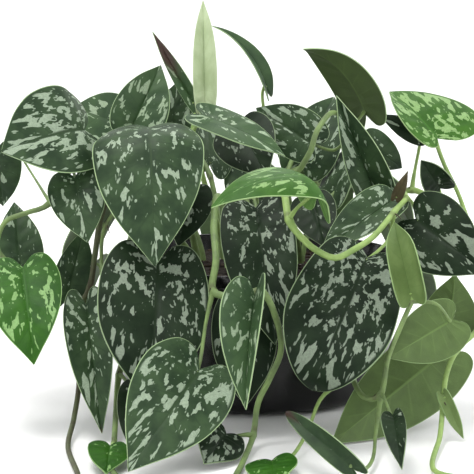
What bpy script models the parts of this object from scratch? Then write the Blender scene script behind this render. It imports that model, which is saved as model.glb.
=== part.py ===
"""A satin pothos in its pot: mottled heart-shaped leaves on arching and trailing stems.

The pot stands on z = 0 with its axis on the Z axis. The plant is laid out as it is seen
from the front, so a place on it is often given by where it shows in a square front view
and by how far it lies in front of the pot's axis.
"""

from dataclasses import dataclass, field
from math import atan2, cos, pi, radians, sin, sqrt

import bmesh
import bpy
from mathutils import Matrix, Vector

MM = 0.001

# Pot
POT_HEIGHT = 100 * MM
RIM_RADIUS = 110 * MM
RIM_HEIGHT = 9 * MM
BODY_TOP_RADIUS = 107 * MM
BODY_FOOT_RADIUS = 103 * MM
BASE_RADIUS = 90 * MM
POT_WALL = 3 * MM
POT_FLOOR = 4 * MM
POT_SIDES = 36
DRAIN_HOLES = 4
DRAIN_HOLE_RADIUS = 4 * MM
DRAIN_RING_RADIUS = 58 * MM

# Soil
SOIL_TOP = 88 * MM
SOIL_MOUND = 3 * MM
SOIL_SIDES = 24
ROOTED_DEPTH = 14 * MM

# Room between solids that touch
CLEARANCE = 0.3 * MM

# Stems
STEM_SIDES_STEP = 1
SAMPLE_LENGTH = 30 * MM
NODE_SWELL = 1.3
PETIOLE_RADIUS = 1.5 * MM
PETIOLE_STEPS = 3

# Blades
BLADE_THICKNESS = 0.8 * MM
BLADE_ROWS = 8
BLADE_COLUMNS = 4
FUSED_ROWS = 5
FUSED_COLUMNS = 2

# Half of a heart-shaped blade, from the notch round the lobe to the tip, in shares of
# the width and of the length.
HEART_MARGIN = (
    (0.00, 0.00),
    (0.15, -0.13),
    (0.34, -0.12),
    (0.47, 0.04),
    (0.50, 0.24),
    (0.43, 0.48),
    (0.28, 0.70),
    (0.11, 0.88),
    (0.00, 1.00),
)
VEIN_SWEEP = 2.4
MIDRIB_STEPS = 40
CROOK_SHARE = 0.3
HOOK_SHARE = 0.35
RIPPLES = 1.6

# Front view: a square picture of the plant, with the eye in front of the pot
VIEW_PIXELS = 474
VIEW_FOCAL_PIXELS = 1169
EYE = Vector((-13.9 * MM, -880 * MM, 235.3 * MM))
EYE_PITCH = radians(8)

# Lowest point of what lies on the surface
FLOOR_GAP = 0.6 * MM


def seen(across, down, forward):
    """The point at a picture position, so many millimetres in front of the pot's axis."""
    ray = line_of_sight(across, down)
    reach = (-forward * MM - EYE.y) / ray.y
    return EYE + ray * reach


def seen_on_floor(across, down, radius=2.5):
    """The middle of a stem that lies on the surface, at a picture position."""
    ray = line_of_sight(across, down)
    reach = (radius * MM + FLOOR_GAP - EYE.z) / ray.z
    return EYE + ray * reach


def line_of_sight(across, down):
    """The direction from the eye through a picture position."""
    middle = VIEW_PIXELS / 2
    right = (across - middle) / VIEW_FOCAL_PIXELS
    up = (middle - down) / VIEW_FOCAL_PIXELS
    ahead = Vector((0, cos(EYE_PITCH), -sin(EYE_PITCH)))
    top = Vector((0, sin(EYE_PITCH), cos(EYE_PITCH)))
    return (ahead + Vector((right, 0, 0)) + top * up).normalized()


def at(x, y, z):
    """A point in millimetres."""
    return Vector((x, y, z)) * MM


@dataclass
class Leaf:
    """One leaf: a petiole from a stem to a blade, which is a node of its own unless fused.

    base is where the petiole meets the blade. tip is a picture position, or a point that
    the blade heads for. fold raises both halves at the midrib and curl bends them on
    towards the margin. arch bends the blade along its length, crook near its base and hook
    near its tip. blunt widens it towards the tip, and lobe lengthens the lobes behind the
    notch. Angles are in degrees.
    """

    name: str
    joint: int
    base: Vector
    tip: object
    length: float
    width: float
    near: bool = True
    roll: float = 0
    fold: float = 10
    curl: float = -14
    arch: float = 20
    twist: float = 0
    wave: float = 1.0
    skew: float = 0.05
    lobe: float = 1.0
    crook: float = 0
    hook: float = 0
    blunt: float = 0.15
    underside: bool = False
    fused: bool = False
    young: bool = False
    petiole: float = 1.0
    via: tuple = ()


@dataclass
class Stem:
    """One stem, from its hole in the soil along its route, with the leaves that it bears."""

    name: str
    root: tuple
    radius: float
    route: list
    leaves: list = field(default_factory=list)
    woody: bool = False


def ease(share):
    """A smooth rise from 0 to 1 as the share runs from 0 to 1."""
    share = min(max(share, 0), 1)
    return share * share * (3 - 2 * share)


def smooth_point(points, place):
    """The point at a place from 0 to 1 on the smooth curve through the points."""
    spans = len(points) - 1
    span = min(int(place * spans), spans - 1)
    t = place * spans - span
    before = points[max(span - 1, 0)]
    start = points[span]
    end = points[span + 1]
    after = points[min(span + 2, spans)]
    return (
        start * 2
        + (end - before) * t
        + (before * 2 - start * 5 + end * 4 - after) * t * t
        + (start * 3 - before - end * 3 + after) * t * t * t
    ) / 2


def bezier(start, leave, close, end, t):
    """The point at t on a cubic Bezier curve."""
    s = 1 - t
    return start * s**3 + leave * 3 * s * s * t + close * 3 * s * t * t + end * t**3


def margin_point(place):
    """A point of the heart-shaped margin, in shares of the width and the length."""
    outline = [Vector(point) for point in HEART_MARGIN]
    point = smooth_point(outline, place)
    return Vector((max(point.x, 0), point.y))


class Blade:
    """The bent surface of one leaf, from the notch at its base to its tip."""

    def __init__(self, leaf):
        self.leaf = leaf
        self.length = leaf.length * MM
        self.half_width = leaf.width * MM / 2
        self.midrib = self.bent_midrib()
        self.axes = self.placed_axes()

    def bent_midrib(self):
        """Points of the midrib, as (forth, height, angle), with its ends on one level."""
        leaf = self.leaf
        forth, height = 0, 0
        points = []
        for step in range(MIDRIB_STEPS + 1):
            share = step / MIDRIB_STEPS
            angle = radians(leaf.arch) * share + radians(leaf.crook) * ease(share / CROOK_SHARE)
            angle += radians(leaf.hook) * ease((share - 1 + HOOK_SHARE) / HOOK_SHARE)
            if step:
                forth += cos(angle) * self.length / MIDRIB_STEPS
                height -= sin(angle) * self.length / MIDRIB_STEPS
            points.append((forth, height, angle))
        level = atan2(height, forth)
        return [
            (
                x * cos(level) + z * sin(level),
                z * cos(level) - x * sin(level),
                angle + level,
            )
            for x, z, angle in points
        ]

    def placed_axes(self):
        """Columns across, along to the tip, and out of the upper face."""
        leaf = self.leaf
        along = self.heading(self.midrib[-1][0])
        if isinstance(leaf.tip, Vector):
            outward = Vector((leaf.base.x, leaf.base.y, 0)).normalized()
            towards = outward + Vector((0, 0, 0.8))
        else:
            towards = EYE - leaf.base
        up = (towards - along * towards.dot(along)).normalized()
        if leaf.underside:
            up = -up
        up = Matrix.Rotation(radians(leaf.roll), 3, along) @ up
        return Matrix((along.cross(up), along, up)).transposed()

    def heading(self, chord):
        """The direction from the base to the tip, which is this far away."""
        leaf = self.leaf
        if isinstance(leaf.tip, Vector):
            return (leaf.tip - leaf.base).normalized()
        ray = line_of_sight(*leaf.tip)
        along = ray.dot(leaf.base - EYE)
        aside = (EYE + ray * along - leaf.base).length
        depth = sqrt(max(0, chord * chord - aside * aside))
        target = EYE + ray * (along - depth if leaf.near else along + depth)
        return (target - leaf.base).normalized()

    def flat_point(self, place, side):
        """A point of the flat blade: place runs from notch to tip, side from -1 to 1."""
        leaf = self.leaf
        edge = margin_point(place)
        back = leaf.lobe if edge.y < 0 else 1
        half = 1 + leaf.skew * (1 if side > 0 else -1)
        fuller = 1 + leaf.blunt * max(edge.y, 0) ** 2
        midrib = place**VEIN_SWEEP
        across = edge.x * 2 * self.half_width * side * half * fuller
        along = midrib + (edge.y * back - midrib) * abs(side)
        return across, along

    def midrib_at(self, share):
        """The midrib's (forth, height, angle) at a share of its length, straight on behind it."""
        if share < 0:
            angle = self.midrib[0][2]
            back = share * self.length
            return back * cos(angle), -back * sin(angle), angle
        step = min(int(share * MIDRIB_STEPS), MIDRIB_STEPS - 1)
        t = share * MIDRIB_STEPS - step
        return tuple(a + (b - a) * t for a, b in zip(self.midrib[step], self.midrib[step + 1]))

    def point(self, place, side):
        """A point of the blade once it is folded, curled, waved, twisted and bent."""
        leaf = self.leaf
        across, share = self.flat_point(place, side)
        aside = abs(across)
        fold = radians(leaf.fold)
        turn = radians(leaf.curl) / self.half_width or 1e-6
        out = (sin(fold + turn * aside) - sin(fold)) / turn
        rise = (cos(fold) - cos(fold + turn * aside)) / turn
        ripple = sin(2 * pi * (RIPPLES * place + leaf.skew * 9))
        rise += leaf.wave * MM * across / self.half_width * abs(side) * ripple
        out = out if across > 0 else -out
        twist = radians(leaf.twist) * share
        out, rise = out * cos(twist) - rise * sin(twist), out * sin(twist) + rise * cos(twist)
        forth, height, angle = self.midrib_at(share)
        local = Vector((out, forth + rise * sin(angle), height + rise * cos(angle)))
        return leaf.base + self.axes @ local

    def petiole_end(self):
        """Where the petiole ends, under the blade just past the notch, and how it arrives."""
        leaf = self.leaf
        radius = PETIOLE_RADIUS * leaf.petiole
        forth, height, angle = self.midrib_at((radius + 0.6 * MM) / self.length)
        tangent = self.axes @ Vector((0, cos(angle), -sin(angle)))
        normal = self.axes @ Vector((0, sin(angle), cos(angle)))
        foot = leaf.base + self.axes @ Vector((0, forth, height))
        if leaf.fused:
            return foot + normal * BLADE_THICKNESS, (normal * 0.7 + tangent * 0.7).normalized()
        arrive = (normal * 0.9 + tangent * 0.44).normalized()
        below = BLADE_THICKNESS / 2 + CLEARANCE + radius * (0.95 if leaf.via else 0.6)
        return foot - normal * below, arrive


def petiole_route(leaf, start):
    """The points of the petiole, from the middle of the stem to the blade."""
    end, arrive = Blade(leaf).petiole_end()
    reach = (end - start).length
    close = end - arrive * min(reach * 0.4, 10 * MM)
    if leaf.via:
        points = [start, *leaf.via, end]
        steps = len(leaf.via) * 2 + 2
        return [smooth_point(points, step / steps) for step in range(steps + 1)]
    leave = start + (end - start) * 0.3 + Vector((0, 0, reach * 0.15))
    steps = PETIOLE_STEPS
    return [bezier(start, leave, close, end, step / steps) for step in range(steps + 1)]


STEMS = [
    Stem(
        "stem_left_crown",
        root=(-48, -8),
        radius=2.4,
        route=[
            seen(150, 205, 30),
            seen(126, 168, 48),
            seen(99, 155, 64),
            seen(72, 168, 74),
            seen(50, 203, 80),
            seen(26, 213, 82),
            seen(5, 222, 86),
            seen(-3, 246, 92),
            seen(7, 262, 92),
        ],
        leaves=[
            Leaf("leaf_left_drooping", 2, seen(84, 130, 74), (1, 152), 68, 62, arch=36, roll=18, lobe=1.5,
                 crook=20, blunt=0.6),
            Leaf("leaf_left_edge", 4, seen(-3, 150, 52), (3, 206), 46, 34, near=False, petiole=0.7,
                 via=(seen(32, 174, 44), seen(10, 142, 36))),
            Leaf("leaf_left_back", 1, seen(124, 126, 8), (74, 107), 50, 40, near=False,
                 via=(seen(136, 148, 16), seen(132, 132, 3))),
            Leaf("leaf_left_round", 3, seen(75, 178, 94), (88, 243), 48, 38, arch=14, fold=4),
            Leaf("leaf_left_upright", 8, seen(21, 267, 76), (14, 202), 50, 32, near=False,
                 via=(seen(10, 281, 84), seen(20, 281, 70))),
            Leaf("leaf_left_bright", 8, seen(23, 268, 108), (34, 365), 74, 50, arch=22, young=True),
        ],
    ),
    Stem(
        "stem_left_trailing",
        root=(-72, -22),
        radius=2.3,
        woody=True,
        route=[
            seen(138, 206, 50),
            seen(113, 192, 62),
            seen(101, 218, 72),
            seen(95, 255, 80),
            seen(90, 287, 86),
            seen(79, 310, 94),
            seen(76, 343, 104),
            seen(79, 382, 120),
            seen(74, 418, 138),
            seen_on_floor(68, 447),
            seen_on_floor(78, 476),
            at(-108, -246, 4.2),
            at(-92, -268, 3.4),
        ],
        leaves=[
            Leaf("leaf_left_standing", 5, seen(67, 299, 80), (84, 229), 52, 28, near=False,
                 via=(seen(73, 315, 77),)),
            Leaf("leaf_left_long", 5, seen(86, 306, 114), (102, 434), 88, 32, fold=24),
            Leaf("leaf_floor_left", 11, at(-122, -262, 8), at(-168, -276, 6), 46, 34, arch=5, roll=42,
                 young=True, via=(at(-114, -254, 6),)),
            Leaf("bud_left", 4, seen(94, 298, 94), (110, 295), 14, 7, fused=True, young=True, petiole=0.6),
        ],
    ),
    Stem(
        "stem_left_front",
        root=(-42, -46),
        radius=2.5,
        route=[
            seen(186, 216, 64),
            seen(170, 214, 84),
            seen(156, 234, 104),
            seen(146, 280, 106),
            seen(130, 335, 108),
            seen(119, 375, 124),
            seen(116, 410, 142),
            seen_on_floor(114, 445),
            seen_on_floor(112, 470),
            at(-76, -240, 3.4),
        ],
        leaves=[
            Leaf("leaf_front_silver", 2, seen(158, 262, 122), (148, 402), 97, 70, arch=12, roll=-8,
                 blunt=0.7, hook=24),
            Leaf("leaf_shadow_left", 1, seen(192, 190, 80), (178, 247), 44, 34),
            Leaf("leaf_low_dark", 5, seen(137, 388, 142), (128, 446), 43, 22),
            Leaf("leaf_low_left", 7, seen(110, 446, 190), (106, 474), 36, 25, arch=5, young=True),
        ],
    ),
    Stem(
        "stem_centre_front",
        root=(-6, -58),
        radius=2.6,
        route=[
            seen(220, 198, 84),
            seen(214, 224, 116),
            seen(216, 260, 138),
            seen(213, 291, 146),
            seen(237, 296, 152),
            seen(262, 292, 154),
            seen(276, 318, 152),
            seen(281, 350, 150),
            seen(270, 378, 152),
            seen(258, 403, 158),
            seen(253, 436, 168),
            seen_on_floor(242, 464),
            at(-16, -240, 3.4),
            at(-8, -266, 3.4),
        ],
        leaves=[
            Leaf("leaf_front_low", 3, seen(199, 370, 174), (128, 472), 84, 62, lobe=1.1,
                 via=(seen(206, 322, 152), seen(201, 356, 164))),
            Leaf("leaf_front_narrow", 5, seen(255, 296, 166), (246, 410), 76, 40, fold=44, curl=10, roll=24),
            Leaf("leaf_centre_large", 0, seen(256, 208, 96), (275, 345), 98, 49, fold=16, lobe=0.5,
                 blunt=0.5, via=(seen(240, 198, 84), seen(253, 198, 86))),
            Leaf("leaf_centre_dark", 0, seen(246, 304, 119.5), (246, 406), 68, 42, blunt=0.6,
                 arch=8, via=(seen(226, 228, 90), seen(236, 262, 107), seen(243, 289, 113.8))),
            Leaf("leaf_low_mottled", 10, seen(226, 434, 180), (204, 464), 36, 32, arch=10),
        ],
    ),
    Stem(
        "stem_right_bright",
        root=(26, -30),
        radius=2.7,
        route=[
            seen(270, 184, 70),
            seen(283, 190, 108),
            seen(289, 220, 132),
            seen(302, 238, 139),
            seen(316, 250, 142),
            seen(335, 258, 142),
            seen(353, 250, 137),
            seen(374, 236, 129),
            seen(394, 212, 110),
            seen(407, 198, 90),
        ],
        leaves=[
            Leaf("leaf_lime_arching", 2, seen(317, 193, 146), (211, 208), 88, 44, arch=60, crook=44,
                 roll=60, lobe=1.4, fold=-4, curl=-20, young=True),
            Leaf("leaf_right_large", 8, seen(367, 258, 114), (312, 390), 116, 61, arch=14, blunt=1.5,
                 lobe=0.6, hook=90, via=(seen(388, 240, 99),)),
            Leaf("leaf_right_slanting", 9, seen(393, 200, 75), (318, 258), 71, 32, roll=28, fold=20, lobe=0.5,
                 via=(seen(403, 192, 69),)),
            Leaf("leaf_right_round", 9, seen(416, 219, 85), (488, 274), 66, 54, arch=14,
                 via=(seen(413, 204, 77),)),
            Leaf("bract_right", 9, seen(396, 198, 84), (408, 171), 24, 8, fused=True, petiole=0.6),
        ],
    ),
    Stem(
        "stem_right_top",
        root=(34, 2),
        radius=2.5,
        route=[
            seen(288, 190, 52),
            seen(302, 166, 66),
            seen(311, 150, 72),
            seen(317, 131, 72),
            seen(331, 113, 62),
            seen(344, 119, 50),
            seen(352, 133, 40),
        ],
        leaves=[
            Leaf("leaf_top_olive", 6, seen(366, 114, 16), (303, 49), 78, 44, arch=70, underside=True,
                 roll=-50),
            Leaf("leaf_top_grey", 6, seen(312, 144, 38), (256, 108), 54, 38, near=False,
                 via=(seen(334, 150, 28),)),
            Leaf("leaf_right_curled", 6, seen(366, 142, 38), (402, 168), 38, 28, curl=-50, near=False),
            Leaf("leaf_shadow_lower", 0, seen(312, 200, 62), (325, 248), 42, 32),
        ],
    ),
    Stem(
        "stem_right_front",
        root=(48, -34),
        radius=2.4,
        route=[
            seen(340, 240, 58),
            seen(350, 240, 82),
            seen(350, 262, 97),
            seen(348, 292, 105),
            seen(348, 335, 112),
            seen(352, 375, 126),
            seen(364, 397, 156),
            seen(381, 394, 164),
            seen(388, 358, 162),
            seen(400, 328, 157),
            seen(412, 301, 150),
        ],
        leaves=[
            Leaf("leaf_new_furled", 10, seen(411, 296, 150), (394, 222), 52, 34, fused=True, fold=24,
                 curl=60, young=True, near=False),
            Leaf("leaf_right_grey", 10, seen(452, 320, 136), (388, 358), 52, 38, underside=True,
                 via=(seen(436, 304, 150),)),
            Leaf("leaf_low_slim", 7, seen(393, 416, 188), (402, 470), 60, 15, curl=10, petiole=0.8),
            Leaf("leaf_low_heart", 5, seen(272, 461, 208), (277, 486), 34, 31, young=True, arch=10,
                 via=(seen(322, 397, 146), seen(308, 430, 168), seen(292, 456, 194))),
            Leaf("leaf_low_hooked", 7, seen(352, 468, 228), (286, 412), 62, 15, near=False, curl=30, hook=50,
                 fused=True, via=(seen(376, 430, 174), seen(373, 458, 202), seen(363, 470, 223))),
        ],
    ),
    Stem(
        "stem_right_outer",
        root=(66, 4),
        radius=2.3,
        route=[
            seen(385, 208, 20),
            seen(412, 190, 24),
            seen(444, 210, 30),
            seen(476, 248, 40),
            seen(490, 290, 70),
            seen(480, 326, 102),
            seen(457, 350, 122),
            seen(446, 376, 134),
            seen(443, 406, 146),
            seen(440, 436, 162),
            seen_on_floor(434, 470),
            at(124, -236, 3.4),
            at(108, -262, 3.4),
        ],
        leaves=[
            Leaf("leaf_right_folded", 0, seen(377, 197, 42), (336, 95), 82, 35, fold=42),
            Leaf("leaf_right_bright", 3, seen(437, 138, 36), (389, 92), 60, 62, roll=47, skew=0.4, fold=12,
                 near=False, young=True, petiole=1.3, via=(seen(460, 198, 34), seen(444, 164, 28))),
            Leaf("leaf_right_tucked", 1, seen(421, 137, 18), (379, 114), 36, 16, fused=True),
            Leaf("leaf_right_cupped", 2, seen(440, 188, 52), (421, 160), 28, 26, curl=50),
            Leaf("leaf_right_olive", 5, seen(450, 331, 90), (455, 274), 42, 38, underside=True,
                 near=False, via=(seen(466, 340, 106),)),
            Leaf("leaf_low_green", 6, seen(442, 354, 112), (331, 444), 106, 52, underside=True),
            Leaf("leaf_floor_right", 11, at(138, -246, 12), at(182, -262, 8), 46, 34, arch=5),
            Leaf("leaf_small_curled", 8, seen(444, 396, 144), (464, 440), 30, 11, fused=True, young=True,
                 curl=50, petiole=0.7),
        ],
    ),
    Stem(
        "stem_top_left",
        root=(-22, -6),
        radius=2.5,
        route=[
            seen(208, 195, 28),
            seen(199, 162, 36),
            seen(192, 134, 38),
        ],
        leaves=[
            Leaf("leaf_new_upright", 2, seen(205, 101, 42), (203, 0), 76, 24, fold=34, curl=24, young=True,
                 near=False),
            Leaf("leaf_new_brown", 2, seen(194, 104, 24), (152, 31), 62, 12, fused=True, fold=30,
                 near=False, petiole=0.8),
            Leaf("leaf_top_folded", 2, seen(131, 128, 34), (161, 65), 52, 42, near=False, fold=26),
            Leaf("leaf_top_small", 2, seen(172, 130, 20), (177, 82), 38, 28, near=False,
                 via=(seen(183, 145, 14),)),
            Leaf("leaf_front_heart", 1, seen(150, 128, 88), (155, 267), 106, 76, arch=24, crook=44, fold=4,
                 curl=-32),
            Leaf("leaf_top_green", 2, seen(203, 115, 62), (285, 156), 66, 31, roll=-48),
        ],
    ),
    Stem(
        "stem_top_centre",
        root=(4, 12),
        radius=2.4,
        route=[
            seen(256, 190, -6),
            seen(259, 150, 2),
            seen(264, 118, 6),
        ],
        leaves=[
            Leaf("leaf_new_leaning", 2, seen(266, 88, 10), (212, 26), 64, 15, fused=True, fold=30,
                 arch=70, roll=50, young=True),
            Leaf("leaf_shadow_centre", 1, seen(240, 128, 24), (268, 178), 52, 46),
        ],
    ),
]


def hanging_spray(number, bearing, height, reach):
    """A leafy stem over the back rim, which bears leaves by turns on either side."""
    turn = radians(bearing)
    outward = Vector((cos(turn), sin(turn), 0))
    aside = Vector((-sin(turn), cos(turn), 0))
    up = Vector((0, 0, 1))
    route = [
        outward * 62 * MM + up * (height - 18 * MM),
        outward * 96 * MM + up * height,
        outward * (reach - 4 * MM) + up * (height - 34 * MM),
        outward * reach + up * (height - 74 * MM),
    ]
    leaves = []
    for step, (along, lean, drop) in enumerate(SPRAY_LEAVES):
        vary = sin(VARY_BY_SPRAY * number + VARY_BY_LEAF * step)
        side = (lean + 0.25 * vary) * (1 if number % 2 else -1)
        base = route[along] + aside * side * 20 * MM + outward * 12 * MM + up * 8 * MM
        heading = base + aside * side * 16 * MM + outward * 22 * MM - up * drop * MM
        name = f"back_{number}_{step}"
        length = 64 - 4 * step + 6 * vary
        width = 44 - 3 * step + 4 * vary
        arch = 34 + 12 * vary
        rising = drop < 0
        leaves.append(
            Leaf(name, along, base, heading, length, width, arch=arch, underside=rising, fused=True)
        )
    root = outward * 46
    return Stem(f"spray_back_{number}", (root.x, root.y), 2.4, route, leaves)


# How much each spray and each leaf on it differs from the last, in radians of one wave
VARY_BY_SPRAY = 3.7
VARY_BY_LEAF = 2.1

SPRAY_LEAVES = ((0, 0.2, -30), (1, -0.5, 34), (2, 0.5, 52), (3, -0.4, 52))

BACK_SPRAYS = [
    hanging_spray(1, 34, 146 * MM, 138 * MM),
    hanging_spray(2, 65, 172 * MM, 134 * MM),
    hanging_spray(3, 95, 146 * MM, 142 * MM),
    hanging_spray(4, 125, 172 * MM, 134 * MM),
    hanging_spray(5, 154, 146 * MM, 138 * MM),
]


def finish(name, colour, roughness, specular=0.5):
    """A material with the colour and roughness of one kind of surface."""
    material = bpy.data.materials.new(name)
    material.use_nodes = True
    shader = material.node_tree.nodes["Principled BSDF"]
    shader.inputs["Base Color"].default_value = (*colour, 1)
    shader.inputs["Roughness"].default_value = roughness
    shader.inputs["Metallic"].default_value = 0
    shader.inputs["Specular IOR Level"].default_value = specular
    return material


def add_object(name, mesh, collection, material=None):
    """A named object in a collection, with its material."""
    piece = bpy.data.objects.new(name, mesh)
    collection.objects.link(piece)
    if material:
        mesh.materials.clear()
        mesh.materials.append(material)
    return piece


def collection_named(name):
    """A new collection in the scene."""
    collection = bpy.data.collections.new(name)
    bpy.context.scene.collection.children.link(collection)
    return collection


def turned_mesh(name, profile, sides):
    """A mesh turned round the Z axis from a profile that runs top to bottom on its outside."""
    outline = bpy.data.meshes.new(name)
    edges = [(index, index + 1) for index in range(len(profile) - 1)]
    outline.from_pydata([(radius, 0, height) for radius, height in profile], edges, [])
    guide = add_object(name, outline, bpy.context.scene.collection)
    screw = guide.modifiers.new("Turn", "SCREW")
    screw.steps = sides
    screw.render_steps = sides
    screw.use_merge_vertices = True
    screw.merge_threshold = 0.00001
    screw.use_smooth_shade = True
    return evaluated_mesh(guide)


def evaluated_mesh(guide):
    """The mesh that an object's modifiers or curve make, welded, with the object removed."""
    bpy.context.view_layer.update()
    graph = bpy.context.evaluated_depsgraph_get()
    mesh = bpy.data.meshes.new_from_object(guide.evaluated_get(graph))
    shape = bmesh.new()
    shape.from_mesh(mesh)
    bmesh.ops.remove_doubles(shape, verts=shape.verts, dist=0.00001)
    shape.to_mesh(mesh)
    shape.free()
    bpy.data.objects.remove(guide)
    return mesh


def pot_profile():
    """The pot's section: over the rim, down the outside, under the base, and up the inside."""
    lip = POT_WALL / 2
    corner = 9 * MM
    outside = [
        (RIM_RADIUS - POT_WALL, POT_HEIGHT),
        (RIM_RADIUS - lip / 2, POT_HEIGHT - lip * 0.4),
        (RIM_RADIUS, POT_HEIGHT - lip * 1.4),
        (RIM_RADIUS, POT_HEIGHT - RIM_HEIGHT + lip),
        (RIM_RADIUS - lip, POT_HEIGHT - RIM_HEIGHT),
        (BODY_TOP_RADIUS, POT_HEIGHT - RIM_HEIGHT - lip),
    ]
    curve = [
        (
            BASE_RADIUS + (BODY_FOOT_RADIUS - BASE_RADIUS) * cos(step * pi / 8),
            corner * (1 - sin(step * pi / 8)),
        )
        for step in range(5)
    ]
    inside = [
        (0, 0),
        (0, POT_FLOOR),
        (BASE_RADIUS - POT_WALL, POT_FLOOR),
        (BODY_FOOT_RADIUS - POT_WALL, corner + POT_FLOOR),
        (BODY_TOP_RADIUS - POT_WALL, POT_HEIGHT - RIM_HEIGHT),
        (RIM_RADIUS - POT_WALL - lip, POT_HEIGHT - lip),
        (RIM_RADIUS - POT_WALL, POT_HEIGHT),
    ]
    return outside + curve + inside


def make_pot(parts, cutters):
    """The glossy black pot, with drain holes under it."""
    mesh = turned_mesh("pot_turning", pot_profile(), POT_SIDES)
    pot = add_object("pot", mesh, parts, finish("pot_gloss", (0.012, 0.013, 0.014), 0.16))
    for number in range(DRAIN_HOLES):
        turn = 2 * pi * number / DRAIN_HOLES
        place = (DRAIN_RING_RADIUS * cos(turn), DRAIN_RING_RADIUS * sin(turn), 0)
        hole = add_cylinder(f"drain_{number}", place, DRAIN_HOLE_RADIUS, 3 * POT_FLOOR, cutters, 12)
        cut_from(pot, hole)
    bake(pot)
    pot.data.shade_smooth()
    pot.data.set_sharp_from_angle(angle=radians(40))
    return pot


def add_cylinder(name, middle, radius, height, collection, sides=8):
    """An upright cylinder, as a helper that is not part of the model."""
    bpy.ops.mesh.primitive_cylinder_add(vertices=sides, radius=radius, depth=height, location=middle)
    piece = bpy.context.object
    piece.name = name
    for owner in list(piece.users_collection):
        owner.objects.unlink(piece)
    collection.objects.link(piece)
    piece.hide_render = True
    piece.display_type = "WIRE"
    return piece


def cut_from(body, cutter):
    """A Boolean cut, left on the body."""
    cut = body.modifiers.new(cutter.name, "BOOLEAN")
    cut.operation = "DIFFERENCE"
    cut.object = cutter
    cut.solver = "EXACT"


def bake(piece):
    """The piece's modifiers applied to its mesh."""
    bpy.context.view_layer.update()
    graph = bpy.context.evaluated_depsgraph_get()
    mesh = bpy.data.meshes.new_from_object(piece.evaluated_get(graph))
    old = piece.data
    piece.modifiers.clear()
    piece.data = mesh
    mesh.name = piece.name
    bpy.data.meshes.remove(old)


def soil_profile():
    """The soil's section: from the middle of its mound out, then down inside the pot."""
    gap = 2 * CLEARANCE
    share = (SOIL_TOP - 13 * MM) / (POT_HEIGHT - RIM_HEIGHT - 13 * MM)
    top_radius = BODY_FOOT_RADIUS + (BODY_TOP_RADIUS - BODY_FOOT_RADIUS) * share - POT_WALL - gap
    foot_radius = BODY_FOOT_RADIUS - POT_WALL - gap
    return [
        (0, SOIL_TOP + SOIL_MOUND),
        (top_radius * 0.55, SOIL_TOP + SOIL_MOUND * 0.7),
        (top_radius - 2 * gap, SOIL_TOP),
        (foot_radius, 13.4 * MM),
        (BASE_RADIUS - POT_WALL - gap, POT_FLOOR + gap),
        (0, POT_FLOOR + gap),
    ]


def make_soil(stems, parts, cutters):
    """The soil, with a plain hole for each stem."""
    mesh = turned_mesh("soil_turning", soil_profile(), SOIL_SIDES)
    soil = add_object("soil", mesh, parts, finish("soil_dark", (0.035, 0.022, 0.014), 0.95, 0.2))
    for stem in stems:
        x, y = stem.root
        place = (x * MM, y * MM, SOIL_TOP)
        radius = stem.radius * MM * NODE_SWELL + 2 * CLEARANCE
        height = 2 * (ROOTED_DEPTH + 2 * CLEARANCE)
        hole = add_cylinder(f"hole_{stem.name}", place, radius, height, cutters)
        cut_from(soil, hole)
    bake(soil)
    return soil


def tube_mesh(name, points, radii):
    """A closed tube through the points, with a radius at each."""
    curve = bpy.data.curves.new(name, "CURVE")
    curve.dimensions = "3D"
    curve.bevel_depth = 1
    curve.bevel_resolution = STEM_SIDES_STEP
    curve.use_fill_caps = True
    spline = curve.splines.new("POLY")
    spline.points.add(len(points) - 1)
    for knot, point, radius in zip(spline.points, points, radii):
        knot.co = (*point, 1)
        knot.radius = radius
    guide = bpy.data.objects.new(name, curve)
    bpy.context.scene.collection.objects.link(guide)
    mesh = evaluated_mesh(guide)
    bpy.data.curves.remove(curve)
    return mesh


def stem_points(stem):
    """The stem's route from the bottom of its hole, and the places of its joints on it."""
    x, y = stem.root
    bottom = at(x, y, 0) + Vector((0, 0, SOIL_TOP - ROOTED_DEPTH))
    top = bottom + Vector((0, 0, ROOTED_DEPTH + 10 * MM))
    return [bottom, top, *stem.route]


def sampled_stem(stem):
    """The points and radii of the stem's tube, thicker at each joint."""
    knots = stem_points(stem)
    points = [knots[0]]
    radii = [stem.radius * MM]
    spans = len(knots) - 1
    for span in range(spans):
        length = (knots[span + 1] - knots[span]).length
        steps = 1 if span == 0 else max(1, round(length / SAMPLE_LENGTH))
        for step in range(1, steps + 1):
            whole = step == steps
            points.append(smooth_point(knots, (span + step / steps) / spans))
            taper = 1 - 0.35 * (span + step / steps) / spans
            bears = whole and any(leaf.joint == span - 1 for leaf in stem.leaves)
            radii.append(stem.radius * MM * taper * (NODE_SWELL if bears else 1))
    return points, radii


def blade_mesh(leaf, rows, columns):
    """The blade as an open surface: a grid whose end rows close at the notch and the tip."""
    bpy.ops.mesh.primitive_grid_add(x_subdivisions=columns, y_subdivisions=rows, size=2)
    guide = bpy.context.object
    blade = Blade(leaf)
    for vertex in guide.data.vertices:
        side = vertex.co.x
        place = (vertex.co.y + 1) / 2
        vertex.co = blade.point(place, side)
    shape = bmesh.new()
    shape.from_mesh(guide.data)
    bmesh.ops.remove_doubles(shape, verts=shape.verts, dist=0.00001)
    bmesh.ops.recalc_face_normals(shape, faces=shape.faces)
    bmesh.ops.triangulate(shape, faces=shape.faces)
    shape.to_mesh(guide.data)
    shape.free()
    solidify = guide.modifiers.new("Thickness", "SOLIDIFY")
    solidify.thickness = BLADE_THICKNESS
    solidify.offset = 0
    mesh = evaluated_mesh(guide)
    return mesh


def make_leaf(leaf, parts, materials):
    """A blade as a node of its own."""
    mesh = blade_mesh(leaf, BLADE_ROWS, BLADE_COLUMNS)
    kind = "leaf_young" if leaf.young else "leaf_satin"
    piece = add_object(leaf.name, mesh, parts, materials[kind])
    piece.data.shade_smooth()
    piece.data.set_sharp_from_angle(angle=radians(50))
    return piece


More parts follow.
